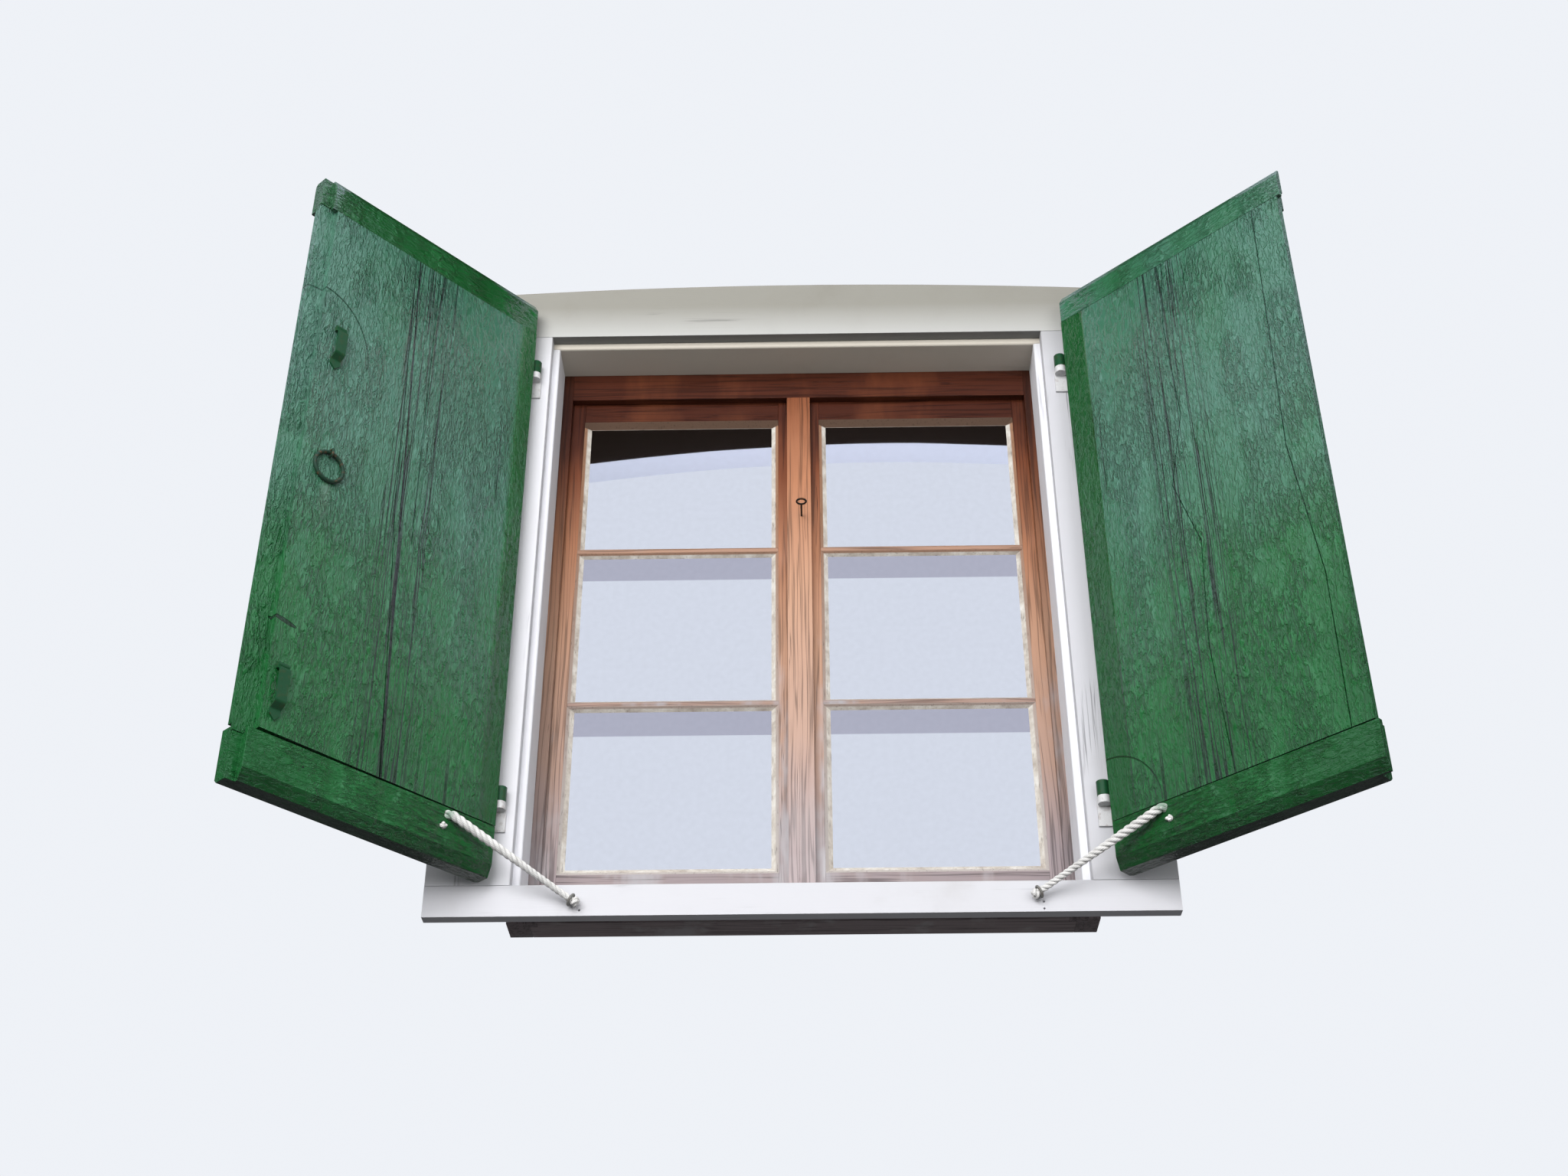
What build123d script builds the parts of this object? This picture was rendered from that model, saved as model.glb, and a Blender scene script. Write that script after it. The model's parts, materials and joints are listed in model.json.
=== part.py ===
# Window with a painted face frame, a pine casement window and a pair of boarded shutters.
# Millimetres. X runs right along the wall, Y into the wall, Z up.
# The origin is the bottom centre of the sill board's front face.
import os
from dataclasses import dataclass
from math import cos, pi, radians, sin, sqrt

from build123d import *

os.makedirs("parts", exist_ok=True)

# Face frame
opening_width = 880.0
board_width = 130.0
face_thickness = 21.0
sill_height = 51.0
head_joint = 1125.5
head_end_board = 99.5
head_crown_rise = 18.0
arris = 2.0

# Linings of the reveal
reveal_depth = 97.5
lining_inset = 12.0
lining_thickness = 22.0
lining_bead = 4.0
lining_tongue_length = 8.0
lining_tongue_thickness = 6.0
sill_fall = 9.0

# Window frame
window_centre = 2.0
daylight_half = 412.0
window_lip = 14.5
window_depth = 55.0
window_member = 48.0
window_head_low = 1057.0
window_head_face = 68.0
window_sill_low = 30.0
window_sill_lip = 78.0
mullion_width = 42.0
mullion_web = 12.0
sash_lap = 10.0
sash_side_gap = 2.0
sash_face_gap = 0.5

# Sashes and glazing
sash_depth = 40.0
outer_stile_sight = 35.0
inner_stile_sight = 28.0
glass_low = 130.0
glass_high = 1005.0
bar_heights = (426.0, 732.5)
bar_width = 21.0
bar_nose = 7.0
bar_depth = 34.0
rebate_width = 12.0
putty_depth = 9.0
putty_edge = 0.5
glass_thickness = 3.0
glass_margin = 2.0

# Sash hinges and turn button
sash_hinge_heights = (230.0, 905.0)
sash_barrel_radius = 6.0
sash_barrel_gap = 0.7
sash_pin_radius = 3.0
pin_clearance = 0.05
sash_barrel_half = 24.0
hinge_plate_width = 21.0
hinge_plate_thickness = 3.0
button_height = 560.0
button_length = 90.0
button_width = 14.0
button_thickness = 6.0
button_gap = 0.5
button_pin_radius = 2.5
button_pin_depth = 14.0
button_head_radius = 5.0
button_head_thickness = 2.5
button_edge_round = 1.5
button_head_round = 1.2

# Shutter leaves
pin_stand_off = 12.0
closed_gap = 1.5
leaf_low = 52.0
leaf_high = 1177.0
bottom_bevel_height = 20.0
bottom_bevel_depth = 8.0
top_bevel_height = 15.0
top_bevel_depth = 8.5
board_thickness = 28.0
rail_thickness = 40.0
rail_edge_chamfer = 5.0
hinge_end_chamfer = 10.0
tongue_near = 9.0
tongue_thickness = 10.0
tongue_length = 7.0
groove_clearance = 0.3
groove_spare = 1.0
rebate_step = 16.0
inner_lip_thickness = 12.0
lip_clearance = 1.0
board_gap = 1.8
crack_width = 1.6
crack_depth = 7.0
edge_notch_low = 1076.0
edge_notch_high = 1111.0
edge_notch_depth = 6.0
edge_notch_slant = 3.0

# Shutter hinges
knuckle_heights = (184.0, 1030.0)
knuckle_length = 25.0
shutter_pin_radius = 6.0
strap_thickness = 4.0
strap_bend = 4.0
strap_length = 360.0
strap_tip = 17.0
strap_screw_stations = (60.0, 180.0, 300.0)
screw_shank_radius = 2.2
screw_length = 18.0
screw_head_radius = 6.0
screw_head_height = 2.5
screw_clearance = 0.2
knuckle_seat = 0.3
pin_rise = 3.0
pin_dome = 2.0
pintle_plate_thickness = 4.0
pintle_plate_outer = 26.0
pintle_plate_inner = 10.0
pintle_plate_drop = 46.0
pintle_block_drop = 13.0
pintle_block_radius = 10.0
pintle_screw_station = 15.0
pintle_screw_drops = (38.0, 23.0)
pintle_head_radius = 4.5
pintle_head_height = 2.2
pintle_screw_length = 18.0

# Ring pull and keepers on the left leaf
ring_station = 379.0
ring_height = 611.0
ring_radius = 25.5
ring_bar_radius = 3.2
ring_board_gap = 0.4
staple_bar_radius = 2.0
staple_clearance = 0.4
staple_leg_spread = 6.0
staple_leg_depth = 16.0
staple_bend = 3.5
keeper_thickness = 3.0
keeper_width = 18.0
keeper_stand = 11.0
keeper_foot = 12.0
keeper_point = 9.0
keeper_foot_rise = 6.0
keeper_bow_low = 14.0
keeper_bow_high = 12.0
keeper_head_drop = 5.0
keeper_bend = 4.0
keeper_roll_radius = 5.0
upper_keeper_station = 395.0
upper_keeper_low = 807.0
upper_keeper_high = 877.0
lower_keeper_station = 405.0
lower_keeper_low = 169.0
lower_keeper_high = 248.0

# Ropes and eyes
rope_radius = 5.0
rope_bore_radius = 5.6
rope_entry_stand = 6.0
rope_end_stand = 4.0
rope_back_gap = 1.0
rope_loop_slack = 0.4
knot_radius = 8.5
knot_reach = 7.5
eye_bend = 12.0
eye_bar_radius = 1.9
eye_inner_radius = 6.8
eye_stand_off = 11.5
eye_shank_depth = 16.0
left_eye_x = -345.0
left_eye_height = 21.0
right_eye_x = 357.0
right_eye_height = 27.0
old_hole_radius = 1.8
old_hole_depth = 12.0
left_old_holes = ((12.0, -12.0),)
right_old_holes = ((7.0, -11.0), (7.0, -22.0))
mullion_eye_x = 6.0
mullion_eye_height = 794.0
mullion_eye_reach = 43.0
mullion_eye_radius = 8.0
mullion_eye_bar = 1.7

# Derived sizes
frame_half = opening_width / 2 + board_width
head_end_height = head_joint + head_end_board
head_crown_height = head_end_height + head_crown_rise
lining_face = opening_width / 2 - lining_inset
lining_outer = lining_face + lining_thickness
soffit = head_joint - lining_inset
window_back = reveal_depth + window_depth
lip_back = reveal_depth + window_lip
body_half = daylight_half + sash_lap + sash_side_gap
window_half = daylight_half + window_member
head_body_low = window_head_low + sash_lap + sash_side_gap
sill_body_high = window_sill_lip - sash_lap - sash_side_gap
sash_face = lip_back + sash_face_gap
sash_back = sash_face + sash_depth
sash_outer = daylight_half + sash_lap
sash_inner = mullion_width / 2 - sash_lap
sash_low = window_sill_lip - sash_lap
sash_high = window_head_low + sash_lap
glass_outer = daylight_half - outer_stile_sight
glass_inner = mullion_width / 2 + inner_stile_sight
glass_face = sash_face + putty_depth
glass_back = glass_face + glass_thickness
sash_axis = sash_outer + sash_side_gap / 2
sash_axis_y = sash_back + sash_barrel_gap + sash_barrel_radius
inner_offset = pin_stand_off - closed_gap
knuckle_bore = shutter_pin_radius + pin_clearance
knuckle_radius = knuckle_bore + strap_thickness
ring_line = -ring_board_gap - ring_bar_radius
ring_top = ring_height + ring_radius


@dataclass
class Leaf:
    """One shutter leaf; stations run along it from its hinge edge."""

    name: str
    hand: int
    pin_x: float
    hinge_gap: float
    open_angle: float
    length: float
    inner_lip: bool
    board_top_station: float
    board_low_station: float
    bottom_rail_high: float
    top_rail_low: float
    shoulder_fall: float
    joint_line: tuple
    crack_line: tuple
    rope_holes: tuple
    eye: tuple


left_leaf = Leaf(
    name="left_shutter",
    hand=1,
    pin_x=-464.0,
    hinge_gap=12.5,
    open_angle=132.4,
    length=457.0,
    inner_lip=False,
    board_top_station=432.0,
    board_low_station=424.0,
    bottom_rail_high=135.0,
    top_rail_low=1110.0,
    shoulder_fall=4.0,
    joint_line=((217, 120), (232, 384), (248, 601), (267, 1125)),
    crack_line=((211, 550), (214, 790), (217, 1108)),
    rope_holes=((90, 123), (97, 103)),
    eye=(left_eye_x, -eye_stand_off, left_eye_height),
)
right_leaf = Leaf(
    name="right_shutter",
    hand=-1,
    pin_x=467.2,
    hinge_gap=18.0,
    open_angle=135.9,
    length=456.0,
    inner_lip=True,
    board_top_station=450.0,
    board_low_station=450.0,
    bottom_rail_high=131.0,
    top_rail_low=1117.0,
    shoulder_fall=1.0,
    joint_line=((413, 115), (416, 391), (389, 635), (400, 1130)),
    crack_line=((222, 133), (208, 353), (220, 541), (182, 665), (215, 792), (205, 985), (218, 1115)),
    rope_holes=((94, 121), (102, 101)),
    eye=(right_eye_x, -eye_stand_off, right_eye_height),
)
leaves = (left_leaf, right_leaf)


# Planes

def elevation(depth, centre=0.0):
    """Upright plane parallel to the wall: sketch x is X, sketch y is Z."""
    return Plane(origin=(centre, depth, 0), x_dir=(1, 0, 0), z_dir=(0, -1, 0))


def cross_section(x):
    """Upright plane across the wall: sketch x is Y, sketch y is Z."""
    return Plane(origin=(x, 0, 0), x_dir=(0, 1, 0), z_dir=(1, 0, 0))


def leaf_plan(leaf, height=0.0):
    """Level plane at the leaf's pin, turned with the leaf."""
    turn = radians(-leaf.hand * leaf.open_angle)
    pin = (leaf.pin_x, -pin_stand_off, height)
    return Plane(origin=pin, x_dir=(cos(turn), sin(turn), 0), z_dir=(0, 0, 1))


def on_plan(leaf, station, depth):
    """Point on the leaf's plan from its station and its depth behind the inner face."""
    return (leaf.hand * (leaf.hinge_gap + station), inner_offset - depth)


def leaf_point(leaf, station, depth, height):
    """Point in space from the leaf's own sizes."""
    return leaf_plan(leaf).from_local_coords((*on_plan(leaf, station, depth), height))


def leaf_face(leaf, depth):
    """Upright plane along the leaf: sketch x is the station, sketch y is Z."""
    base = leaf_plan(leaf)
    return Plane(
        origin=leaf_point(leaf, 0, depth, 0),
        x_dir=base.x_dir * leaf.hand,
        z_dir=base.y_dir * -leaf.hand,
    )


def leaf_end(leaf, station):
    """Upright plane across the leaf: sketch x is the depth, sketch y is Z."""
    base = leaf_plan(leaf)
    return Plane(origin=leaf_point(leaf, station, 0, 0), x_dir=base.y_dir * -1, z_dir=base.x_dir * -1)


def save(piece, name):
    """Names a finished piece and writes it."""
    piece.label = name
    export_step(piece, f"parts/{name}.step")


# Face frame

def pintle_screw_places(leaf):
    """Places of the pintle plate screws on the face frame, as x and z."""
    x = leaf.pin_x - leaf.hand * pintle_screw_station
    return [(x, low - drop) for low in knuckle_heights for drop in pintle_screw_drops]


def make_sill_board():
    with BuildPart() as board:
        with BuildSketch(elevation(0)):
            with Locations((0, sill_height / 2)):
                Rectangle(2 * frame_half, sill_height)
        extrude(amount=-face_thickness)
        fillet(board.edges().group_by(Axis.Y)[0].sort_by(Axis.Z)[-1], radius=arris)
        for x, height in ((left_eye_x, left_eye_height), (right_eye_x, right_eye_height)):
            with BuildSketch(elevation(0)):
                with Locations((x, height)):
                    Circle(eye_bar_radius + screw_clearance)
            extrude(amount=-eye_shank_depth - groove_spare, mode=Mode.SUBTRACT)
        left_places = [(left_eye_x + across, left_eye_height + up) for across, up in left_old_holes]
        right_places = [(right_eye_x + across, right_eye_height + up) for across, up in right_old_holes]
        with BuildSketch(elevation(0)):
            with Locations(*left_places, *right_places):
                Circle(old_hole_radius)
        extrude(amount=-old_hole_depth, mode=Mode.SUBTRACT)
    return board.part


def make_jamb_board(leaf):
    side = -leaf.hand
    with BuildPart() as board:
        with BuildSketch(elevation(0)):
            with Locations((side * (opening_width + board_width) / 2, (sill_height + head_joint) / 2)):
                Rectangle(board_width, head_joint - sill_height)
        extrude(amount=-face_thickness)
        front = board.edges().group_by(Axis.Y)[0].filter_by(Axis.Z)
        fillet(front.sort_by(Axis.X)[0 if side > 0 else -1], radius=arris)
        with BuildSketch(elevation(0)):
            with Locations(*pintle_screw_places(leaf)):
                Circle(screw_shank_radius + screw_clearance)
        extrude(amount=-pintle_screw_length - groove_spare, mode=Mode.SUBTRACT)
        with BuildSketch(elevation(face_thickness)):
            with Locations((side * (lining_outer - lining_tongue_thickness / 2), (sill_height + head_joint) / 2)):
                Rectangle(lining_tongue_thickness + 2 * groove_clearance, head_joint - sill_height)
        extrude(amount=lining_tongue_length + groove_clearance, mode=Mode.SUBTRACT)
    return board.part


def make_head_board():
    with BuildPart() as board:
        with BuildSketch(elevation(0)):
            with BuildLine():
                Polyline(
                    (-frame_half, head_end_height),
                    (-frame_half, head_joint),
                    (frame_half, head_joint),
                    (frame_half, head_end_height),
                )
                ThreePointArc(
                    (-frame_half, head_end_height), (0, head_crown_height), (frame_half, head_end_height)
                )
            make_face()
        extrude(amount=-face_thickness)
    return board.part


# Linings of the reveal

def make_side_lining(side):
    """Side lining, beaded at the front and tongued into the back of its jamb board."""
    middle = (sill_height + soffit) / 2
    height = soffit - sill_height
    with BuildPart() as lining:
        with BuildSketch(elevation(face_thickness)):
            with Locations((side * (lining_face + lining_outer) / 2, middle)):
                Rectangle(lining_thickness, height)
        extrude(amount=face_thickness - reveal_depth)
        with BuildSketch(cross_section(0)):
            Polygon(*sill_slope(), align=None)
        extrude(amount=frame_half, both=True, mode=Mode.SUBTRACT)
        front = lining.edges().group_by(Axis.Y)[0].filter_by(Axis.Z)
        fillet(front.sort_by(Axis.X)[0 if side > 0 else -1], radius=lining_bead)
        with BuildSketch(elevation(face_thickness)):
            with Locations((side * (lining_outer - lining_tongue_thickness / 2), middle)):
                Rectangle(lining_tongue_thickness, height)
        extrude(amount=lining_tongue_length)
    return lining.part


def sill_slope():
    """Section of the sloping reveal sill, under which the side linings are cut."""
    return (
        (face_thickness, sill_height),
        (reveal_depth, sill_height + sill_fall),
        (reveal_depth, sill_height + sill_fall - lining_thickness),
        (face_thickness, sill_height - lining_thickness),
    )


def make_head_lining():
    with BuildPart() as lining:
        with BuildSketch(elevation(face_thickness)):
            with Locations((0, soffit + lining_thickness / 2)):
                Rectangle(2 * lining_outer, lining_thickness)
        extrude(amount=face_thickness - reveal_depth)
        fillet(lining.edges().group_by(Axis.Y)[0].sort_by(Axis.Z)[0], radius=lining_bead)
    return lining.part


def make_lower_lining():
    with BuildPart() as lining:
        with BuildSketch(cross_section(0)):
            Polygon(*sill_slope(), align=None)
        extrude(amount=lining_outer, both=True)
    return lining.part


# Window frame

def slab(u_low, u_high, z_low, z_high, y_front, y_back, side=1):
    """Adds an upright slab to the current part, between sizes measured from the window's centre."""
    with BuildSketch(elevation(y_front, window_centre)) as outline:
        with Locations((side * (u_low + u_high) / 2, (z_low + z_high) / 2)):
            Rectangle(u_high - u_low, z_high - z_low)
    extrude(outline.sketch, amount=y_front - y_back)


def make_window_jamb(side):
    with BuildPart() as jamb:
        z_high = window_head_low + window_head_face
        slab(daylight_half, window_half, window_sill_low, z_high, reveal_depth, lip_back, side)
        slab(body_half, window_half, window_sill_low, z_high, lip_back, window_back, side)
    return jamb.part


def make_window_head():
    with BuildPart() as head:
        z_high = window_head_low + window_head_face
        slab(-daylight_half, daylight_half, window_head_low, z_high, reveal_depth, lip_back)
        slab(-body_half, body_half, head_body_low, z_high, lip_back, window_back)
    return head.part


def make_window_bottom_rail():
    with BuildPart() as rail:
        slab(-daylight_half, daylight_half, window_sill_low, window_sill_lip, reveal_depth, lip_back)
        slab(-body_half, body_half, window_sill_low, sill_body_high, lip_back, window_back)
    return rail.part


def make_mullion():
    half = mullion_width / 2
    web = mullion_web / 2
    with BuildPart() as mullion:
        slab(-half, half, window_sill_lip, window_head_low, reveal_depth, lip_back)
        slab(-web, web, sill_body_high, head_body_low, lip_back, window_back)
        with BuildSketch(elevation(reveal_depth)):
            with Locations((mullion_eye_x, mullion_eye_height)):
                Circle(mullion_eye_bar + screw_clearance)
        extrude(amount=-eye_shank_depth - groove_spare, mode=Mode.SUBTRACT)
        with BuildSketch(elevation(window_back, window_centre)):
            with Locations((0, button_height)):
                Circle(button_pin_radius + screw_clearance)
        extrude(amount=button_pin_depth + groove_spare, mode=Mode.SUBTRACT)
    return mullion.part


# Sashes

def pane_spans():
    """Visible height of each pane, from the bottom one up."""
    lows = [glass_low] + [height + bar_width / 2 for height in bar_heights]
    highs = [height - bar_width / 2 for height in bar_heights] + [glass_high]
    return list(zip(lows, highs))


def rebate_spans():
    """Height of each glazing rebate, from the bottom one up."""
    lows = [glass_low - rebate_width] + [height + bar_nose / 2 for height in bar_heights]
    highs = [height - bar_nose / 2 for height in bar_heights] + [glass_high + rebate_width]
    return list(zip(lows, highs))


def make_stile(side, outer):
    edge = sash_outer if outer else sash_inner
    sight = glass_outer if outer else glass_inner
    shoulder = sight + rebate_width if outer else sight - rebate_width
    with BuildPart() as stile:
        slab(min(shoulder, edge), max(shoulder, edge), sash_low, sash_high, sash_face, glass_back, side)
        slab(min(sight, edge), max(sight, edge), sash_low, sash_high, glass_back, sash_back, side)
    return stile.part


def make_sash_rail(side, top):
    low, high = (glass_high, sash_high) if top else (sash_low, glass_low)
    front_low, front_high = (low + rebate_width, high) if top else (low, high - rebate_width)
    inner_shoulder = glass_inner - rebate_width
    outer_shoulder = glass_outer + rebate_width
    with BuildPart() as rail:
        slab(inner_shoulder, outer_shoulder, front_low, front_high, sash_face, glass_back, side)
        slab(glass_inner, glass_outer, low, high, glass_back, sash_back, side)
    return rail.part


def make_bars(side):
    inner_shoulder = glass_inner - rebate_width
    outer_shoulder = glass_outer + rebate_width
    with BuildPart() as bars:
        for height in bar_heights:
            nose = bar_nose / 2
            body = bar_width / 2
            slab(inner_shoulder, outer_shoulder, height - nose, height + nose, sash_face, glass_back, side)
            slab(glass_inner, glass_outer, height - body, height + body, glass_back, sash_face + bar_depth, side)
    return bars.part


def make_panes(side):
    inner_edge = glass_inner - rebate_width + glass_margin
    outer_edge = glass_outer + rebate_width - glass_margin
    with BuildPart() as panes:
        for low, high in rebate_spans():
            slab(inner_edge, outer_edge, low + glass_margin, high - glass_margin, glass_face, glass_back, side)
    return panes.part


def make_putty(side):
    """Bevelled putty round each pane, from the glass out to the face of the sash."""
    inner_edge = glass_inner - rebate_width
    outer_edge = glass_outer + rebate_width
    middle = side * (inner_edge + outer_edge) / 2
    sight_middle = side * (glass_inner + glass_outer) / 2
    with BuildPart() as putty:
        for (low, high), (clear_low, clear_high) in zip(rebate_spans(), pane_spans()):
            slab(inner_edge, outer_edge, low, high, sash_face, glass_face, side)
            with BuildSketch(elevation(glass_face, window_centre)):
                with Locations((sight_middle, (clear_low + clear_high) / 2)):
                    Rectangle(glass_outer - glass_inner, clear_high - clear_low)
            with BuildSketch(elevation(sash_face, window_centre)):
                with Locations((middle, (low + high) / 2)):
                    Rectangle(outer_edge - inner_edge - 2 * putty_edge, high - low - 2 * putty_edge)
            loft(mode=Mode.SUBTRACT)
    return putty.part


# Sash hinges and turn button

def barrel(x, low, height, radius, mode=Mode.ADD):
    """Adds or cuts an upright round bar at the sash hinge axis."""
    with BuildSketch(Plane.XY.offset(low)) as outline:
        with Locations((x, sash_axis_y)):
            Circle(radius)
    extrude(outline.sketch, amount=height, mode=mode)


def hinge_plate(side, near, far, low):
    """Adds a hinge plate on the room side, from its barrel outwards."""
    slab(min(near, far), max(near, far), low, low + sash_barrel_half, sash_back,
         sash_back + hinge_plate_thickness, side)


def make_sash_pintles():
    reach = sash_axis + hinge_plate_width + sash_side_gap / 2
    with BuildPart() as pintles:
        for side in (-1, 1):
            x = window_centre + side * sash_axis
            for height in sash_hinge_heights:
                barrel(x, height - sash_barrel_half, sash_barrel_half, sash_barrel_radius)
                barrel(x, height, sash_barrel_half - sash_pin_radius, sash_pin_radius)
                hinge_plate(side, sash_axis + sash_side_gap, reach, height - sash_barrel_half)
    return pintles.part


def make_sash_knuckles(side):
    reach = sash_axis - hinge_plate_width - sash_side_gap / 2
    x = window_centre + side * sash_axis
    with BuildPart() as knuckles:
        for height in sash_hinge_heights:
            low = height + knuckle_seat
            barrel(x, low, sash_barrel_half, sash_barrel_radius)
            hinge_plate(side, reach, sash_axis - sash_side_gap, low)
            barrel(x, low, sash_barrel_half - sash_pin_radius, sash_pin_radius + pin_clearance, Mode.SUBTRACT)
    return knuckles.part


def make_turn_button():
    near = window_back + button_gap
    with BuildPart() as button:
        with BuildSketch(elevation(near, window_centre)):
            with Locations((0, button_height)):
                SlotOverall(button_length, button_width, rotation=90)
                Circle(button_pin_radius + pin_clearance, mode=Mode.SUBTRACT)
        extrude(amount=-button_thickness)
        fillet(button.faces().sort_by(Axis.Y)[-1].outer_wire().edges(), radius=button_edge_round)
    return button.part


def make_turn_button_screw():
    near = window_back + button_gap + button_thickness + knuckle_seat
    with BuildPart() as screw:
        with BuildSketch(elevation(near, window_centre)):
            with Locations((0, button_height)):
                Circle(button_pin_radius)
        extrude(amount=near - window_back + button_pin_depth)
        with BuildSketch(elevation(near, window_centre)):
            with Locations((0, button_height)):
                Circle(button_head_radius)
        extrude(amount=-button_head_thickness)
        fillet(screw.edges().sort_by(Axis.Y)[-1], radius=button_head_round)
    return screw.part


# Shutter leaves

def cut_free_end(leaf, low, high):
    """Cuts the half-lap rebate along the free edge, between two heights."""
    step = leaf.length - rebate_step
    if leaf.inner_lip:
        near, far = inner_lip_thickness, rail_thickness + groove_spare
    else:
        near, far = -groove_spare, inner_lip_thickness + lip_clearance
    corners = [(step, near), (leaf.length + groove_spare, near), (leaf.length + groove_spare, far), (step, far)]
    with BuildSketch(leaf_plan(leaf, low)) as outline:
        Polygon(*[on_plan(leaf, s, t) for s, t in corners], align=None)
    extrude(outline.sketch, amount=high - low, mode=Mode.SUBTRACT)


def cut_rope_bores(leaf):
    """Drills the two rope holes square through the leaf."""
    with BuildSketch(leaf_face(leaf, 0)) as outline:
        with Locations(*leaf.rope_holes):
            Circle(rope_bore_radius)
    extrude(outline.sketch, amount=leaf.hand * rail_thickness, mode=Mode.SUBTRACT)


def rail_profile(face_low, face_high, bevel_at, bevel_depth, groove_at, groove_end):
    """Section of a rail: a bevelled outer edge and a groove for the boards' tongues."""
    near = tongue_near - groove_clearance
    far = tongue_near + tongue_thickness + groove_clearance
    edge_step = rail_edge_chamfer if bevel_at > face_low else -rail_edge_chamfer
    bevel_foot = face_high if bevel_at > face_low else face_low
    return [
        (0, groove_at),
        (0, bevel_foot),
        (bevel_depth, bevel_at),
        (rail_thickness - rail_edge_chamfer, bevel_at),
        (rail_thickness, bevel_at - edge_step),
        (rail_thickness, groove_at),
        (far, groove_at),
        (far, groove_end),
        (near, groove_end),
        (near, groove_at),
    ]


def make_rail(leaf, top):
    groove_depth = tongue_length + groove_spare
    if top:
        face_low, face_high = leaf.top_rail_low, leaf_high - top_bevel_height
        profile = rail_profile(face_low, face_high, leaf_high, top_bevel_depth, face_low, face_low + groove_depth)
    else:
        face_low, face_high = leaf_low + bottom_bevel_height, leaf.bottom_rail_high
        profile = rail_profile(face_low, face_high, leaf_low, bottom_bevel_depth, face_high, face_high - groove_depth)
    corner = [
        on_plan(leaf, 0, rail_thickness - hinge_end_chamfer),
        on_plan(leaf, hinge_end_chamfer, rail_thickness),
        on_plan(leaf, -groove_spare, rail_thickness + groove_spare),
    ]
    with BuildPart() as rail:
        with BuildSketch(leaf_end(leaf, 0)):
            Polygon(*profile, align=None)
        extrude(amount=-leaf.hand * leaf.length)
        cut_free_end(leaf, leaf_low, leaf_high)
        with BuildSketch(leaf_plan(leaf, leaf_low)):
            Polygon(*corner, align=None)
        extrude(amount=leaf_high - leaf_low, mode=Mode.SUBTRACT)
        if not top:
            cut_rope_bores(leaf)
    return rail.part


def make_plank(leaf, free):
    """One upright board, tongued into both rails."""
    shoulder_low = leaf.bottom_rail_high + groove_spare
    shoulder_high = leaf.top_rail_low - groove_clearance
    tongue_low = leaf.bottom_rail_high - tongue_length
    tongue_high = leaf.top_rail_low + tongue_length
    inner_points = [(s, z) for s, z in leaf.joint_line]
    (low_joint, _), *middle, (high_joint, _) = inner_points
    if free:
        edge = leaf.length if not leaf.inner_lip else leaf.board_low_station
        joint = [(s + board_gap, z) for s, z in middle]
        ends = (low_joint + board_gap, high_joint + board_gap)
    else:
        edge = 0.0
        joint = list(middle)
        ends = (low_joint, high_joint)
    slope = leaf.shoulder_fall / leaf.length
    body = [(ends[0], shoulder_low + slope * ends[0]), *joint, (ends[1], shoulder_high)]
    body += [(edge, shoulder_high), (edge, shoulder_low + slope * edge)]
    tongue = [(ends[0], tongue_low), *joint, (ends[1], tongue_high), (edge, tongue_high), (edge, tongue_low)]
    with BuildPart() as plank:
        with BuildSketch(leaf_face(leaf, 0)):
            Polygon(*body, align=None)
        extrude(amount=leaf.hand * board_thickness)
        with BuildSketch(leaf_face(leaf, tongue_near)):
            Polygon(*tongue, align=None)
        extrude(amount=leaf.hand * tongue_thickness)
        if free:
            cut_board_edge(leaf)
            cut_staple_bores(leaf)
        else:
            with BuildSketch(leaf_face(leaf, 0)):
                with BuildLine():
                    Polyline(*leaf.crack_line)
                trace(line_width=crack_width)
            extrude(amount=leaf.hand * crack_depth, mode=Mode.SUBTRACT)
            cut_rope_bores(leaf)
        cut_strap_bores(leaf)
    return plank.part


def cut_staple_bores(leaf):
    """Drills the two bores of the ring staple's legs, in the leaf that carries the ring."""
    if leaf is not left_leaf:
        return
    legs = [(ring_station, ring_top + spread) for spread in (-staple_leg_spread, staple_leg_spread)]
    with BuildSketch(leaf_face(leaf, 0)) as outline:
        with Locations(*legs):
            Circle(staple_bar_radius + screw_clearance)
    extrude(outline.sketch, amount=leaf.hand * (staple_leg_depth + groove_spare), mode=Mode.SUBTRACT)


def cut_board_edge(leaf):
    """Cuts the long rebate of the free board, with its worn, slightly slanting arris."""
    reach = leaf.length + groove_spare
    if leaf.inner_lip:
        near, depth = inner_lip_thickness, board_thickness
        low_step = high_step = leaf.length - rebate_step
    else:
        near, depth = 0, inner_lip_thickness + lip_clearance
        low_step, high_step = leaf.board_low_station, leaf.board_top_station
    with BuildSketch(leaf_face(leaf, near)) as outline:
        Polygon((low_step, leaf_low), (reach, leaf_low), (reach, leaf_high), (high_step, leaf_high), align=None)
    extrude(outline.sketch, amount=leaf.hand * depth, mode=Mode.SUBTRACT)
    if leaf.inner_lip:
        cut_edge_notch(leaf)


def cut_edge_notch(leaf):
    """Breaks a splinter out of the free edge, just below the top rail."""
    floor = leaf.length - edge_notch_depth
    with BuildSketch(leaf_face(leaf, 0)) as outline:
        Polygon(
            (leaf.length + groove_spare, edge_notch_low - edge_notch_slant),
            (floor, edge_notch_low + edge_notch_slant),
            (floor, edge_notch_high - edge_notch_slant),
            (leaf.length + groove_spare, edge_notch_high),
            align=None,
        )
    extrude(outline.sketch, amount=leaf.hand * board_thickness, mode=Mode.SUBTRACT)


# Strap hinges

def strap_screw_places():
    """Stations and heights of the strap screws."""
    return [(s, low + knuckle_length / 2) for low in knuckle_heights for s in strap_screw_stations]


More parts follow.
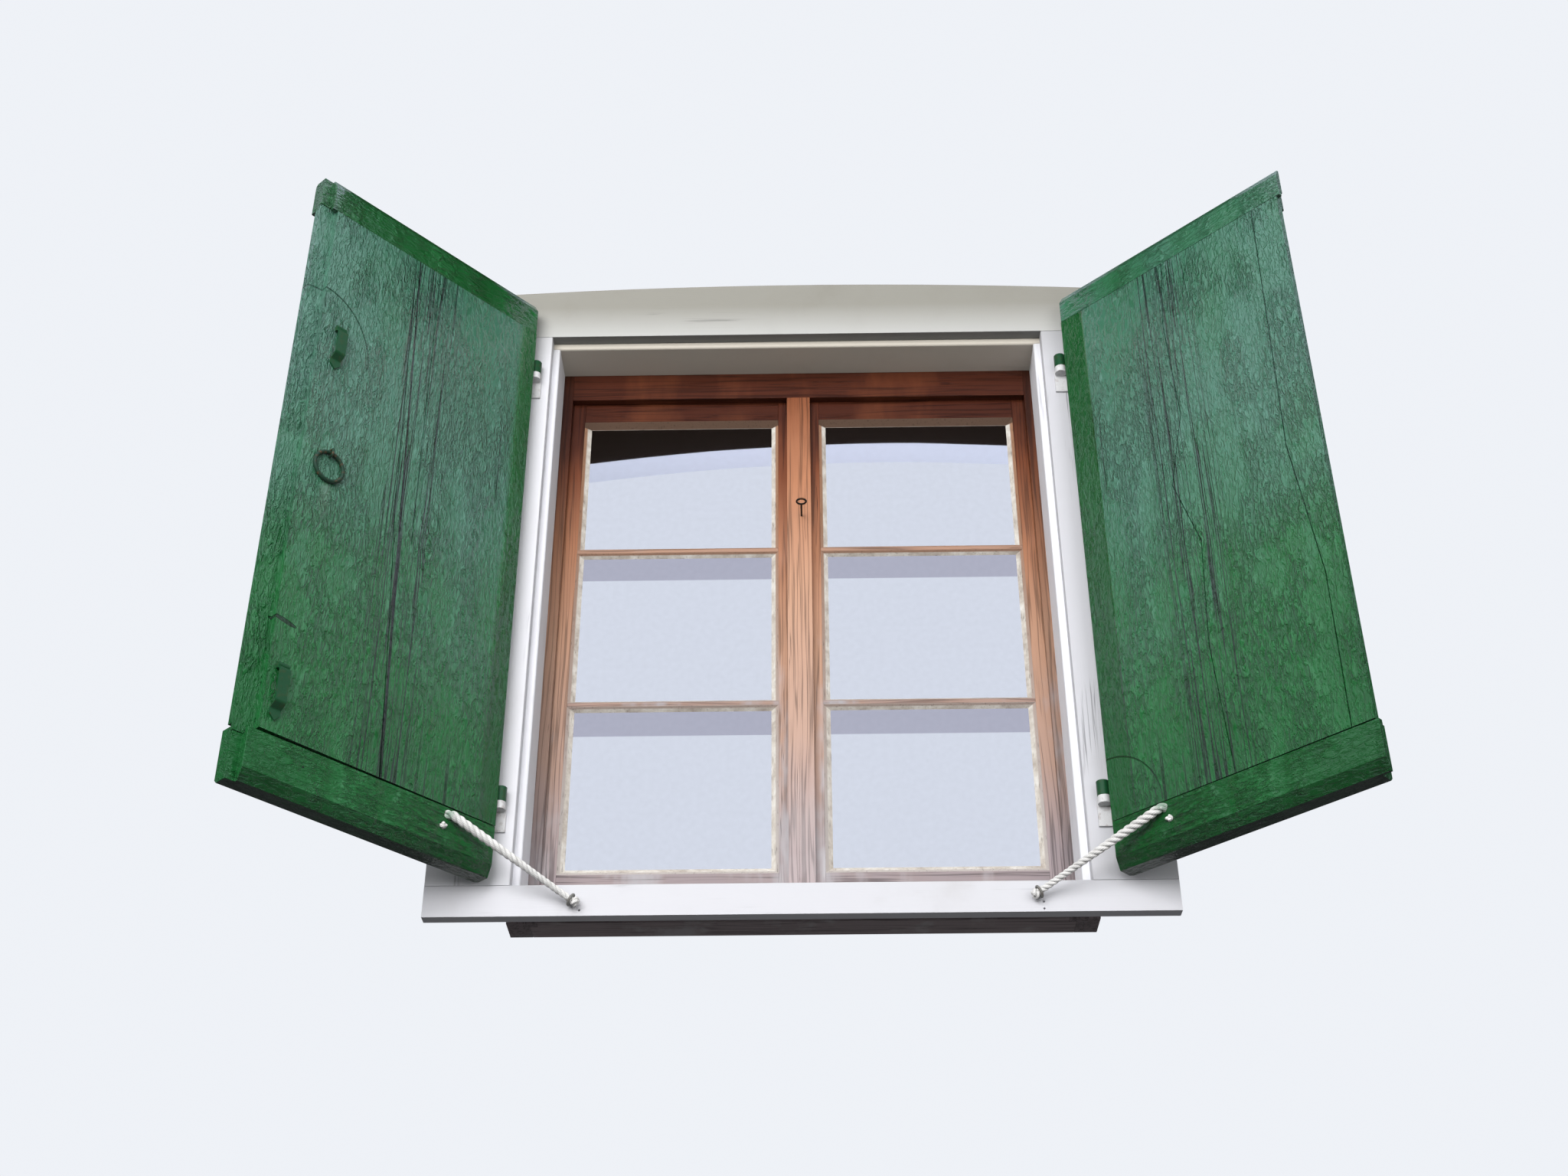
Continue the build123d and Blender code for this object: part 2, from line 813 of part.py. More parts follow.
def cut_strap_bores(leaf):
    """Drills the pilot holes of the strap screws from the outer face."""
    depth = board_thickness + strap_thickness - screw_length - groove_spare
    with BuildSketch(leaf_face(leaf, depth)) as outline:
        with Locations(*strap_screw_places()):
            Circle(screw_shank_radius + screw_clearance)
    extrude(outline.sketch, amount=leaf.hand * rail_thickness, mode=Mode.SUBTRACT)


def make_strap(leaf, low):
    """Cranked strap: it wraps the pin, runs along the hinge edge and bends on to the outer face."""
    run = leaf.hand * (knuckle_bore + strap_thickness / 2)
    strap_line = inner_offset - board_thickness - strap_thickness / 2
    tip = leaf.hand * (leaf.hinge_gap + strap_length)
    tip_radius = strap_tip / 2
    start = -leaf.hinge_gap - knuckle_radius - groove_spare
    with BuildPart() as strap:
        with BuildSketch(leaf_plan(leaf, low)):
            with BuildLine():
                FilletPolyline((run, 0), (run, strap_line), (tip, strap_line), radius=strap_bend)
            trace(line_width=strap_thickness)
            Circle(knuckle_radius)
            Circle(knuckle_bore, mode=Mode.SUBTRACT)
        extrude(amount=knuckle_length)
        with BuildSketch(leaf_face(leaf, -rail_thickness)):
            with BuildLine():
                Polyline(
                    (strap_length - tip_radius, low + knuckle_length / 2 - tip_radius),
                    (strap_screw_stations[0], low),
                    (start, low),
                    (start, low + knuckle_length),
                    (strap_screw_stations[0], low + knuckle_length),
                    (strap_length - tip_radius, low + knuckle_length / 2 + tip_radius),
                )
                ThreePointArc(
                    (strap_length - tip_radius, low + knuckle_length / 2 + tip_radius),
                    (strap_length, low + knuckle_length / 2),
                    (strap_length - tip_radius, low + knuckle_length / 2 - tip_radius),
                )
            make_face()
        extrude(amount=leaf.hand * 3 * rail_thickness, mode=Mode.INTERSECT)
        with BuildSketch(leaf_face(leaf, board_thickness)):
            with Locations(*[(s, low + knuckle_length / 2) for s in strap_screw_stations]):
                Circle(screw_shank_radius + screw_clearance)
        extrude(amount=leaf.hand * (strap_thickness + groove_spare), mode=Mode.SUBTRACT)
    return strap.part


def make_strap_screws(leaf):
    seat = board_thickness + strap_thickness
    with BuildPart() as screws:
        with BuildSketch(leaf_face(leaf, seat - screw_length)):
            with Locations(*strap_screw_places()):
                Circle(screw_shank_radius)
        extrude(amount=leaf.hand * screw_length)
        with BuildSketch(leaf_face(leaf, seat)):
            with Locations(*strap_screw_places()):
                Circle(screw_head_radius)
        extrude(amount=leaf.hand * screw_head_height)
    return screws.part


def make_pintles(leaf):
    """Plate, block and pin that carry each strap, screwed to the face frame."""
    outer = leaf.pin_x - leaf.hand * pintle_plate_outer
    inner = leaf.pin_x + leaf.hand * pintle_plate_inner
    with BuildPart() as pintles:
        for knuckle in knuckle_heights:
            seat = knuckle - knuckle_seat
            with BuildSketch(Plane.XY.offset(knuckle - pintle_plate_drop)):
                with Locations(((outer + inner) / 2, -pintle_plate_thickness / 2)):
                    Rectangle(abs(outer - inner), pintle_plate_thickness)
            extrude(amount=seat - knuckle + pintle_plate_drop)
            with BuildSketch(Plane.XY.offset(knuckle - pintle_block_drop)):
                with Locations((leaf.pin_x, -pin_stand_off)):
                    Circle(pintle_block_radius)
                with Locations((leaf.pin_x, -pin_stand_off / 2)):
                    Rectangle(pintle_block_radius * sqrt(2), pin_stand_off)
            extrude(amount=seat - knuckle + pintle_block_drop)
            with BuildSketch(Plane.XY.offset(knuckle - pintle_block_drop)):
                with Locations((leaf.pin_x, -pin_stand_off)):
                    Circle(shutter_pin_radius)
            extrude(amount=pintle_block_drop + knuckle_length + pin_rise)
        tops = pintles.faces().filter_by(GeomType.PLANE).filter_by(Axis.Z)
        pins = [face for face in tops if abs(face.area - pi * shutter_pin_radius**2) < 1]
        fillet([face.outer_wire().edges()[0] for face in pins], radius=pin_dome)
        with BuildSketch(elevation(0)):
            with Locations(*pintle_screw_places(leaf)):
                Circle(screw_shank_radius + screw_clearance)
        extrude(amount=pintle_plate_thickness + groove_spare, mode=Mode.SUBTRACT)
    return pintles.part


def make_pintle_screws():
    places = pintle_screw_places(left_leaf) + pintle_screw_places(right_leaf)
    with BuildPart() as screws:
        with BuildSketch(elevation(-pintle_plate_thickness)):
            with Locations(*places):
                Circle(screw_shank_radius)
        extrude(amount=-pintle_screw_length)
        with BuildSketch(elevation(-pintle_plate_thickness)):
            with Locations(*places):
                Circle(pintle_head_radius)
        extrude(amount=pintle_head_height)
    return screws.part


# Ring pull and keepers

def make_ring_pull():
    with BuildPart() as ring:
        with BuildSketch(leaf_end(left_leaf, ring_station)):
            with Locations((ring_line, ring_top)):
                Circle(ring_bar_radius)
        centre = leaf_point(left_leaf, ring_station, ring_line, ring_height)
        revolve(axis=Axis(centre, leaf_plan(left_leaf).y_dir))
    return ring.part


def staple_path():
    """Centre line of the staple that holds the ring, in its own upright plane."""
    crown = ring_line - ring_bar_radius - staple_clearance - staple_bar_radius
    with BuildLine(leaf_end(left_leaf, ring_station)) as path:
        FilletPolyline(
            (staple_leg_depth, ring_top + staple_leg_spread),
            (crown, ring_top + staple_leg_spread),
            (crown, ring_top - staple_leg_spread),
            (staple_leg_depth, ring_top - staple_leg_spread),
            radius=staple_bend,
        )
    return path.wire()


def make_ring_staple():
    path = staple_path()
    with BuildPart() as staple:
        with BuildSketch(Plane(origin=path @ 0, z_dir=path % 0)):
            Circle(staple_bar_radius)
        sweep(path=path)
    return staple.part


def make_keeper(station, low, high):
    """Bent iron keeper: pointed foot on the board, upright bow, rolled head back on the board."""
    half = keeper_thickness / 2
    bow = -keeper_stand - half
    with BuildPart() as keeper:
        with BuildSketch(leaf_end(left_leaf, station - keeper_width / 2)):
            with BuildLine():
                FilletPolyline(
                    (-half, low - keeper_foot),
                    (-half, low + keeper_foot_rise),
                    (bow, low + keeper_bow_low),
                    (bow, high - keeper_bow_high),
                    (-half, high - keeper_head_drop),
                    radius=keeper_bend,
                )
            trace(line_width=keeper_thickness)
            with Locations((-keeper_roll_radius, high - keeper_roll_radius)):
                Circle(keeper_roll_radius)
        extrude(amount=-left_leaf.hand * keeper_width)
        with BuildSketch(leaf_face(left_leaf, 0)):
            Polygon(
                (station - keeper_width / 2, high + keeper_point),
                (station - keeper_width / 2, low - keeper_foot + keeper_point),
                (station, low - keeper_foot),
                (station + keeper_width / 2, low - keeper_foot + keeper_point),
                (station + keeper_width / 2, high + keeper_point),
                align=None,
            )
        extrude(amount=-left_leaf.hand * (keeper_stand + keeper_thickness + groove_spare), mode=Mode.INTERSECT)
    return keeper.part


# Ropes and eyes

def rope_route(leaf):
    """Route of a rope: knot, eye, upper hole, loop behind the rail, lower hole and cut end."""
    (s_high, z_high), (s_low, z_low) = leaf.rope_holes
    spread = sqrt((s_low - s_high) ** 2 + (z_high - z_low) ** 2)
    loop = spread / 2 - rope_loop_slack
    back = rail_thickness + rope_back_gap + loop
    eye = Vector(*leaf.eye)
    entry = leaf_point(leaf, s_high, -rope_entry_stand, z_high)
    along = Vector(eye.X - entry.X, 0, eye.Z - entry.Z).normalized()
    knot = eye + along * knot_reach
    points = [
        knot,
        eye,
        entry,
        leaf_point(leaf, s_high, back, z_high),
        leaf_point(leaf, s_low, back, z_low),
        leaf_point(leaf, s_low, -rope_end_stand, z_low),
    ]
    radii = [eye_bend, 2 * rope_radius, loop, loop]
    return points, radii, along


def make_rope(leaf):
    points, radii, _ = rope_route(leaf)
    with BuildPart() as rope:
        with BuildLine() as path:
            FilletPolyline(*points, radius=radii)
        with BuildSketch(Plane(origin=path.wire() @ 0, z_dir=path.wire() % 0)):
            Circle(rope_radius)
        sweep(path=path.wire())
        swept = rope.part.volume
        with Locations(points[0]):
            Sphere(knot_radius)
    print(leaf.name, "rope length", round(path.wire().length, 1), "radii", [round(r, 1) for r in radii])
    print("  swept volume over section times length", round(swept / (pi * rope_radius**2 * path.wire().length), 4))
    return rope.part


def make_sill_eye(leaf):
    """Screw eye in the sill board, its ring square to the rope."""
    _, _, along = rope_route(leaf)
    eye = Vector(*leaf.eye)
    ring_radius_mid = eye_inner_radius + eye_bar_radius
    with BuildPart() as piece:
        with BuildSketch(Plane(origin=eye, x_dir=(0, 1, 0), z_dir=Vector(0, 1, 0).cross(along))):
            with Locations((ring_radius_mid, 0)):
                Circle(eye_bar_radius)
        revolve(axis=Axis(eye, along))
        with BuildSketch(elevation(-eye_stand_off + ring_radius_mid)):
            with Locations((eye.X, eye.Z)):
                Circle(eye_bar_radius)
        extrude(amount=-(eye_stand_off - ring_radius_mid + eye_shank_depth))
    return piece.part


def make_mullion_eye():
    """Long screw eye in the mullion, its ring lying level."""
    ring_y = reveal_depth - mullion_eye_reach
    with BuildPart() as piece:
        with BuildSketch(cross_section(mullion_eye_x)):
            with Locations((ring_y + mullion_eye_radius, mullion_eye_height)):
                Circle(mullion_eye_bar)
        revolve(axis=Axis((mullion_eye_x, ring_y, 0), (0, 0, 1)))
        with BuildSketch(elevation(ring_y + mullion_eye_radius)):
            with Locations((mullion_eye_x, mullion_eye_height)):
                Circle(mullion_eye_bar)
        extrude(amount=-(mullion_eye_reach - mullion_eye_radius + eye_shank_depth))
    return piece.part


# Writing the pieces

save(make_sill_board(), "sill_board")
save(make_jamb_board(left_leaf), "left_jamb_board")
save(make_jamb_board(right_leaf), "right_jamb_board")
save(make_head_board(), "head_board")
save(make_side_lining(-1), "left_lining")
save(make_side_lining(1), "right_lining")
save(make_head_lining(), "head_lining")
save(make_lower_lining(), "lower_lining")

save(make_window_head(), "window_head")
save(make_window_jamb(-1), "window_left_jamb")
save(make_window_jamb(1), "window_right_jamb")
save(make_window_bottom_rail(), "window_bottom_rail")
save(make_mullion(), "mullion")
save(make_mullion_eye(), "mullion_eye")

for side, sash in ((-1, "left_sash"), (1, "right_sash")):
    save(make_stile(side, True), f"{sash}_outer_stile")
    save(make_stile(side, False), f"{sash}_inner_stile")
    save(make_sash_rail(side, True), f"{sash}_top_rail")
    save(make_sash_rail(side, False), f"{sash}_bottom_rail")
    save(make_bars(side), f"{sash}_bars")
    save(make_panes(side), f"{sash}_panes")
    save(make_putty(side), f"{sash}_putty")
    save(make_sash_knuckles(side), f"{sash}_knuckles")

save(make_sash_pintles(), "sash_pintles")
save(make_turn_button(), "turn_button")
save(make_turn_button_screw(), "turn_button_screw")

for leaf in leaves:
    save(make_plank(leaf, False), f"{leaf.name}_hinge_board")
    save(make_plank(leaf, True), f"{leaf.name}_free_board")
    save(make_rail(leaf, True), f"{leaf.name}_top_rail")
    save(make_rail(leaf, False), f"{leaf.name}_bottom_rail")
    save(make_strap(leaf, knuckle_heights[1]), f"{leaf.name}_upper_strap")
    save(make_strap(leaf, knuckle_heights[0]), f"{leaf.name}_lower_strap")
    save(make_strap_screws(leaf), f"{leaf.name}_strap_screws")
    save(make_pintles(leaf), f"{leaf.name}_pintles")
    save(make_rope(leaf), f"{leaf.name}_rope")
    save(make_sill_eye(leaf), f"{leaf.name}_sill_eye")

save(make_pintle_screws(), "pintle_screws")
save(make_ring_pull(), "ring_pull")
save(make_ring_staple(), "ring_staple")
save(make_keeper(upper_keeper_station, upper_keeper_low, upper_keeper_high), "upper_keeper")
save(make_keeper(lower_keeper_station, lower_keeper_low, lower_keeper_high), "lower_keeper")
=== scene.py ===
import json
from dataclasses import dataclass
from math import cos, pi, radians, sin

import bpy
import numpy as np
from mathutils import Matrix, Vector


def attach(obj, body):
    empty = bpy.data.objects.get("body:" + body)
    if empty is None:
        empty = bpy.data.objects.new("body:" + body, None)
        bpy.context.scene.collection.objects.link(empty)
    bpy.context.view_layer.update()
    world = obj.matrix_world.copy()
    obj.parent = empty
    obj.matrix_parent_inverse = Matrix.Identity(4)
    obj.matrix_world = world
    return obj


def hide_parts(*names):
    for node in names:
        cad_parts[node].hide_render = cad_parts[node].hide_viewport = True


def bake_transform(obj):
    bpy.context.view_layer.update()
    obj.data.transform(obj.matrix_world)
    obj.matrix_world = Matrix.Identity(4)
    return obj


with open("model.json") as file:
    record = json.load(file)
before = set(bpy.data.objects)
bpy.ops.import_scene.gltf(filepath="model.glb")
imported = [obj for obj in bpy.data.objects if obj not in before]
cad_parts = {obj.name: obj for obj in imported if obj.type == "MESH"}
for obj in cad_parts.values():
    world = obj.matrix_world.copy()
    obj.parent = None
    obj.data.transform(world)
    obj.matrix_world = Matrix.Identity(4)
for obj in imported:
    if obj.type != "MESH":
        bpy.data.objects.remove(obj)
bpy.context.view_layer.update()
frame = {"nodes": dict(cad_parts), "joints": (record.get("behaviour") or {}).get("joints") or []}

# Camera, at the photograph's viewpoint
camera_place = (0.0157, -2.7432, -1.1907)
camera_lens = 45.285
camera_pitch = 0.5732
camera_yaw = -0.0144
camera_roll = -0.0036

# Sizes repeated from the part's source, in metres
pin_stand_off = 0.012
closed_gap = 0.0015
rail_thickness = 0.040
knot_radius = 0.0085
knot_reach = 0.0075
rope_entry_stand = 0.006
rope_end_stand = 0.004
rope_back_gap = 0.001
rope_loop_slack = 0.0004
head_joint = 1.1255
glass_face = 0.1215
glass_top = 1.005
lower_pane_tops = (0.4155, 0.722)

# Added rope points: how far each lies from its corner
eye_straight = 0.060
entry_straight = 0.016
hole_straight = 0.008
back_straight = 0.031

# Rope: laid tight at the eye, opening towards the leaf and tight again in it
strand_count = 3
tight_lay = 0.026
open_lay = 0.036
tight_offset = 0.0027
open_offset = 0.0038
tight_strand = 0.0027
open_strand = 0.0034
opening_start = 0.05
opening_length = 0.13
leaf_start = 0.235
closing_length = 0.015
rope_step = 0.0012
least_steps = 8
route_resolution = 24
tube_sides = 12
first_aside = (0.3, 0.2, 0.9)

# Stopper knot
knot_tube = 0.0026
knot_points = 121
knot_stretch = 1.3

# Sky and room
sky_light = (0.50, 0.50, 0.50)
seen_sky = (0.86, 0.885, 0.93)
mirrored_sky = (0.78, 0.84, 1.0)
dim_surroundings = (0.05, 0.055, 0.06)
dim_room = (0.020, 0.017, 0.015)
sky_lean = 0.5

# Floor
floor_height = -2.0
floor_half = 14.0
floor_light = (0.10, 0.10, 0.10)
floor_mirrored = (0.16, 0.16, 0.17)
floor_seen = (0.15, 0.15, 0.155)
floor_glow = (0.55, 0.56, 0.57)

# Eave over the window
eave_crown = 1.315
eave_centre = 0.17
eave_curve = 0.118
eave_front = -0.34
eave_back = -0.03
eave_half = 0.75
eave_points = 25
fascia_height = 0.049
eave_dark = (0.022, 0.011, 0.007)
fascia_grey = (0.58, 0.63, 0.82)
fascia_glow = (0.29, 0.315, 0.41)

# Lamps
lamp_aim = Vector((0, 0, 0.55))

# Middle value of a noise
noise_middle = 0.5

# Paint and wood colours
deep_green = (0.004, 0.064, 0.012)
mid_green = (0.010, 0.110, 0.026)
# worn_green is also the colour reached higher up and on raised skin, where it is painted sheen and painted
# highlight.
worn_green = (0.046, 0.152, 0.098)
rust_run = (0.15, 0.17, 0.14)
rope_green = (0.06, 0.18, 0.10)
low_white = (0.76, 0.76, 0.78)
head_half_shade_white = (0.60, 0.60, 0.60)
head_shade_white = (0.36, 0.35, 0.32)
bare_grey = (0.30, 0.28, 0.27)
white_dirt = (0.74, 0.71, 0.67)
bleached_pine = (0.50, 0.47, 0.49)
top_shadow_putty = (0.085, 0.050, 0.033)
bar_shade_tint = (0.64, 0.62, 0.67)
black = (0.0, 0.0, 0.0)

# Marks on the left leaf: its open joint, the nick by its free edge, the run of rust
joint_foot = 0.2104
joint_slope = 0.0445
joint_half_low = 0.0030
joint_narrowing = 0.0016
nick_station = 0.4105
nick_height = 0.320
nick_slope = 0.17
nick_half_length = 0.021
nick_half_width = 0.0038
rust_station = 0.377
rust_half = 0.016

# Marks elsewhere
mark_radius = 0.0022
bar_shade = 0.045
seam_half = 0.0008


@dataclass
class Leaf:
    """One shutter leaf, in metres; stations run along it from its hinge edge.

    A knot holds its station, height and size, a mark its station and height. The scratch holds the station
    and height of its centre and its half width and half height.
    """

    name: str
    hand: int
    hinge_gap: float
    rope_holes: tuple
    eye: tuple
    line_centre: float
    knots: tuple
    scratch: tuple
    marks: tuple
    sound_strip: float
    strip_blur: float
    board_worn: float
    top_worn: float
    low_worn: float

    def __post_init__(self):
        joint = next(j for j in frame["joints"] if j["name"] == f"{self.name}_hinge")
        self.pin = Vector((joint["pos_m"][0], joint["pos_m"][1], 0))
        turn = radians(-joint["range_deg"][0] - joint["range_deg"][1])
        self.out = Vector((cos(turn), sin(turn), 0)) * self.hand
        self.deep = Vector((sin(turn), -cos(turn), 0))

    def point(self, station, depth, height):
        """Point in space from the leaf's own sizes."""
        along = self.out * (self.hinge_gap + station)
        back = self.deep * (depth - pin_stand_off + closed_gap)
        return self.pin + along + back + Vector((0, 0, height))


left_leaf = Leaf(
    name="left_shutter",
    hand=1,
    hinge_gap=0.0125,
    rope_holes=((0.090, 0.123), (0.097, 0.103)),
    eye=(-0.345, -0.0115, 0.021),
    line_centre=0.225,
    knots=((0.180, 0.560, 0.012),),
    scratch=(0.431, 0.828, 0.098, 0.117),
    marks=((0.346, 0.106),),
    sound_strip=0.030,
    strip_blur=0.012,
    board_worn=0.58,
    top_worn=0.06,
    low_worn=0.56,
)
right_leaf = Leaf(
    name="right_shutter",
    hand=-1,
    hinge_gap=0.018,
    rope_holes=((0.094, 0.121), (0.102, 0.101)),
    eye=(0.357, -0.0115, 0.027),
    line_centre=0.205,
    knots=((0.220, 0.541, 0.007), (0.110, 0.770, 0.006), (0.262, 0.300, 0.005)),
    scratch=(0.002, 0.134, 0.092, 0.102),
    marks=((0.410, 1.1715),),
    sound_strip=0.045,
    strip_blur=0.002,
    board_worn=0.54,
    top_worn=0.42,
    low_worn=0.43,
)
leaves = (left_leaf, right_leaf)


# Shader nodes

class NodeTree:
    """Shader nodes, built one at a time."""

    def __init__(self, tree):
        self.tree = tree

    def node(self, kind, inputs=None, **settings):
        made = self.tree.nodes.new("ShaderNode" + kind)
        for name, value in settings.items():
            setattr(made, name, value)
        for name, value in (inputs or {}).items():
            self.feed(made.inputs[name], value)
        return made

    def feed(self, socket, value):
        if isinstance(value, bpy.types.NodeSocket):
            self.tree.links.new(value, socket)
        elif socket.type == "RGBA" and len(value) == 3:
            socket.default_value = (*value, 1)
        else:
            socket.default_value = value

    def math(self, operation, first, second=0.0, clamp=False):
        made = self.node("Math", {0: first, 1: second}, operation=operation, use_clamp=clamp)
        return made.outputs[0]

    def plus(self, first, second):
        return self.math("ADD", first, second)

    def minus(self, first, second):
        return self.math("SUBTRACT", first, second)

    def times(self, first, second):
        return self.math("MULTIPLY", first, second)

    def over(self, first, second):
        return self.math("DIVIDE", first, second)

    def larger(self, first, second):
        return self.math("MAXIMUM", first, second)

    def away(self, value, centre):
        """How far value is from centre, on either side."""
        return self.math("ABSOLUTE", self.minus(value, centre))

    def square_sum(self, first, second):
        return self.plus(self.times(first, first), self.times(second, second))

    def vector(self, operation, first, second):
        made = self.node("VectorMath", {0: first, 1: second}, operation=operation)
        return made.outputs["Value" if operation == "DOT_PRODUCT" else "Vector"]

    def parts(self, vector):
        return self.node("SeparateXYZ", {0: vector}).outputs[:]

    def join(self, x, y, z):
        return self.node("CombineXYZ", {0: x, 1: y, 2: z}).outputs[0]

    def noise(self, vector, scale, detail=3.0, roughness=0.5, distortion=0.0):
        """Noise that changes scale times a metre along each direction."""
        settings = {
            "Vector": self.vector("MULTIPLY", vector, scale),
            "Scale": 1.0,
            "Detail": detail,
            "Roughness": roughness,
            "Distortion": distortion,
        }
        return self.node("TexNoise", settings).outputs["Fac"]

    def step(self, value, zero, one):
        """0 up to the value zero, 1 from the value one, smooth between; either may be the larger."""
        settings = {"Value": value, "From Min": zero, "From Max": one}
        return self.node("MapRange", settings, interpolation_type="SMOOTHSTEP").outputs["Result"]

    def ridge(self, value, centre, width):
        """1 where value is at centre, falling to 0 at width from it."""
        return self.step(self.away(value, centre), zero=width, one=0.0)

    def ramp(self, value, *stops):
        made = self.node("ValToRGB", {0: value})
        marks = made.color_ramp.elements
        while len(marks) < len(stops):
            marks.new(1.0)
        for mark, (place, colour) in zip(marks, stops):
            mark.position = place
            mark.color = (*colour, 1)
        return made.outputs["Color"]

    def mix(self, factor, first, second, blend="MIX"):
        made = self.node("Mix", data_type="RGBA", blend_type=blend)
        factor_socket, first_socket, second_socket = made.inputs[0], made.inputs[6], made.inputs[7]
        self.feed(factor_socket, factor)
        self.feed(first_socket, first)
        self.feed(second_socket, second)
        return next(socket for socket in made.outputs if socket.type == "RGBA")

    def tinted(self, colour, tint):
        return self.mix(1.0, colour, tint, "MULTIPLY")

    def darken(self, colour, factor, keep):
        """Colour times keep where factor is 1."""
        return self.mix(factor, colour, self.tinted(colour, (keep, keep, keep)))

    def bump(self, height, distance, strength=1.0):
        settings = {"Height": height, "Distance": distance, "Strength": strength}
        return self.node("Bump", settings).outputs["Normal"]


class Shader(NodeTree):
    """Node tree of one material."""

    def __init__(self, name):
        self.material = bpy.data.materials.new(name)
        self.material.use_nodes = True
        super().__init__(self.material.node_tree)
        self.surface = self.tree.nodes["Principled BSDF"]
        self.place = self.node("TexCoord").outputs["Object"]

    def set(self, name, value):
        self.feed(self.surface.inputs[name], value)

    def set_varied(self, name, value, share, least):
        """Sets an input to least plus a share of a value between 0 and 1."""
        self.set(name, self.plus(self.times(value, share), least))


# Camera, stage and light

def add_camera():
    level = Vector((cos(camera_yaw), -sin(camera_yaw), 0))
    reach = cos(camera_pitch)
    forward = Vector((sin(camera_yaw) * reach, cos(camera_yaw) * reach, sin(camera_pitch)))
    upward = level.cross(forward)
    across = cos(camera_roll) * level + sin(camera_roll) * upward
    above = cos(camera_roll) * upward - sin(camera_roll) * level
    data = bpy.data.cameras.new("photo_camera")
    data.lens = camera_lens
    camera = bpy.data.objects.new("photo_camera", data)
    turn = Matrix((across, above, -forward)).transposed().to_4x4()
    camera.matrix_world = Matrix.Translation(camera_place) @ turn
    bpy.context.scene.collection.objects.link(camera)
    bpy.context.scene.camera = camera
    bpy.context.scene.view_settings.view_transform = "Standard"


def add_world():
    """Even soft light; pale behind the part, and in gloss pale above and in front only."""
    world = bpy.data.worlds.new("soft_sky")
    bpy.context.scene.world = world
    world.use_nodes = True
    shader = NodeTree(world.node_tree)
    path = shader.node("LightPath").outputs
    _, y, z = shader.parts(shader.node("TexCoord").outputs["Generated"])
    above = shader.step(shader.minus(z, shader.times(y, sky_lean)), zero=0.38, one=0.74)
    mirrored = shader.mix(above, dim_surroundings, mirrored_sky)
    mirrored = shader.mix(path["Is Transmission Ray"], mirrored, dim_room)
    unseen = shader.larger(path["Is Glossy Ray"], path["Is Transmission Ray"])
    colour = shader.mix(unseen, sky_light, mirrored)
    colour = shader.mix(path["Is Camera Ray"], colour, seen_sky)
    shader.feed(shader.tree.nodes["Background"].inputs["Color"], colour)


def stage_plane(name, corners, material):
    mesh = bpy.data.meshes.new(name)
    mesh.from_pydata([Vector(c) for c in corners], [], [tuple(range(len(corners)))])
    plane = bpy.data.objects.new(name, mesh)
    plane.data.materials.append(material)
    bpy.context.scene.collection.objects.link(plane)
    return plane


def add_floor():
    """Floor that looks pale and gives little light back to the undersides."""
    shader = Shader("stage_floor")
    path = shader.node("LightPath").outputs
    colour = shader.mix(path["Is Glossy Ray"], floor_light, floor_mirrored)
    shader.set("Base Color", shader.mix(path["Is Camera Ray"], colour, floor_seen))
    shader.set("Emission Color", shader.mix(path["Is Camera Ray"], black, floor_glow))
    shader.set("Emission Strength", 1.0)
    shader.set("Roughness", 0.9)
    signs = ((-1, -1), (1, -1), (1, 1), (-1, 1))
    corners = [(x * floor_half, y * floor_half, floor_height) for x, y in signs]
    stage_plane("floor", corners, shader.material)


def add_eave():
    """Dark arch with a paler edge over the window, seen only in the panes' reflections: a painted reflection,
    the paler edge glowing though it is no lamp.
    """
    dark = Shader("stage_eave")
    dark.set("Base Color", eave_dark)
    dark.set("Roughness", 1.0)
    grey = Shader("stage_fascia")
    grey.set("Base Color", fascia_grey)
    grey.set("Emission Color", fascia_glow)
    grey.set("Emission Strength", 1.0)
    grey.set("Roughness", 1.0)
    stations = np.linspace(-eave_half, eave_half, eave_points)
    edge = [(x, eave_crown - eave_curve * (x - eave_centre) ** 2) for x in stations]
    front = [(x, eave_front, z) for x, z in edge]
    back = [(x, eave_back, z) for x, z in reversed(edge)]
    below = [(x, eave_front, z - fascia_height) for x, z in reversed(edge)]
    cards = (
        stage_plane("eave", front + back, dark.material),
        stage_plane("fascia", front + below, grey.material),
    )
    for card in cards:
        card.visible_camera = False
        card.visible_diffuse = False
        card.visible_transmission = False
        card.visible_shadow = False


def add_lamp(name, place, size, power):
    data = bpy.data.lights.new(name, "AREA")
    data.shape = "RECTANGLE"
    data.size, data.size_y = size
    data.energy = power
    lamp = bpy.data.objects.new(name, data)
    lamp.location = place
    lamp.rotation_euler = (lamp_aim - Vector(place)).to_track_quat("-Z", "Y").to_euler()
    lamp.visible_glossy = False
    lamp.visible_transmission = False
    bpy.context.scene.collection.objects.link(lamp)


# Green paint

def leaf_place(shader, leaf):
    """Station, depth and height of the point being shaded on a leaf."""
    offset = shader.vector("SUBTRACT", shader.place, leaf.pin)
    station = shader.minus(shader.vector("DOT_PRODUCT", offset, leaf.out), leaf.hinge_gap)
    depth = shader.vector("DOT_PRODUCT", offset, leaf.deep)
    return station, depth, shader.parts(shader.place)[2]


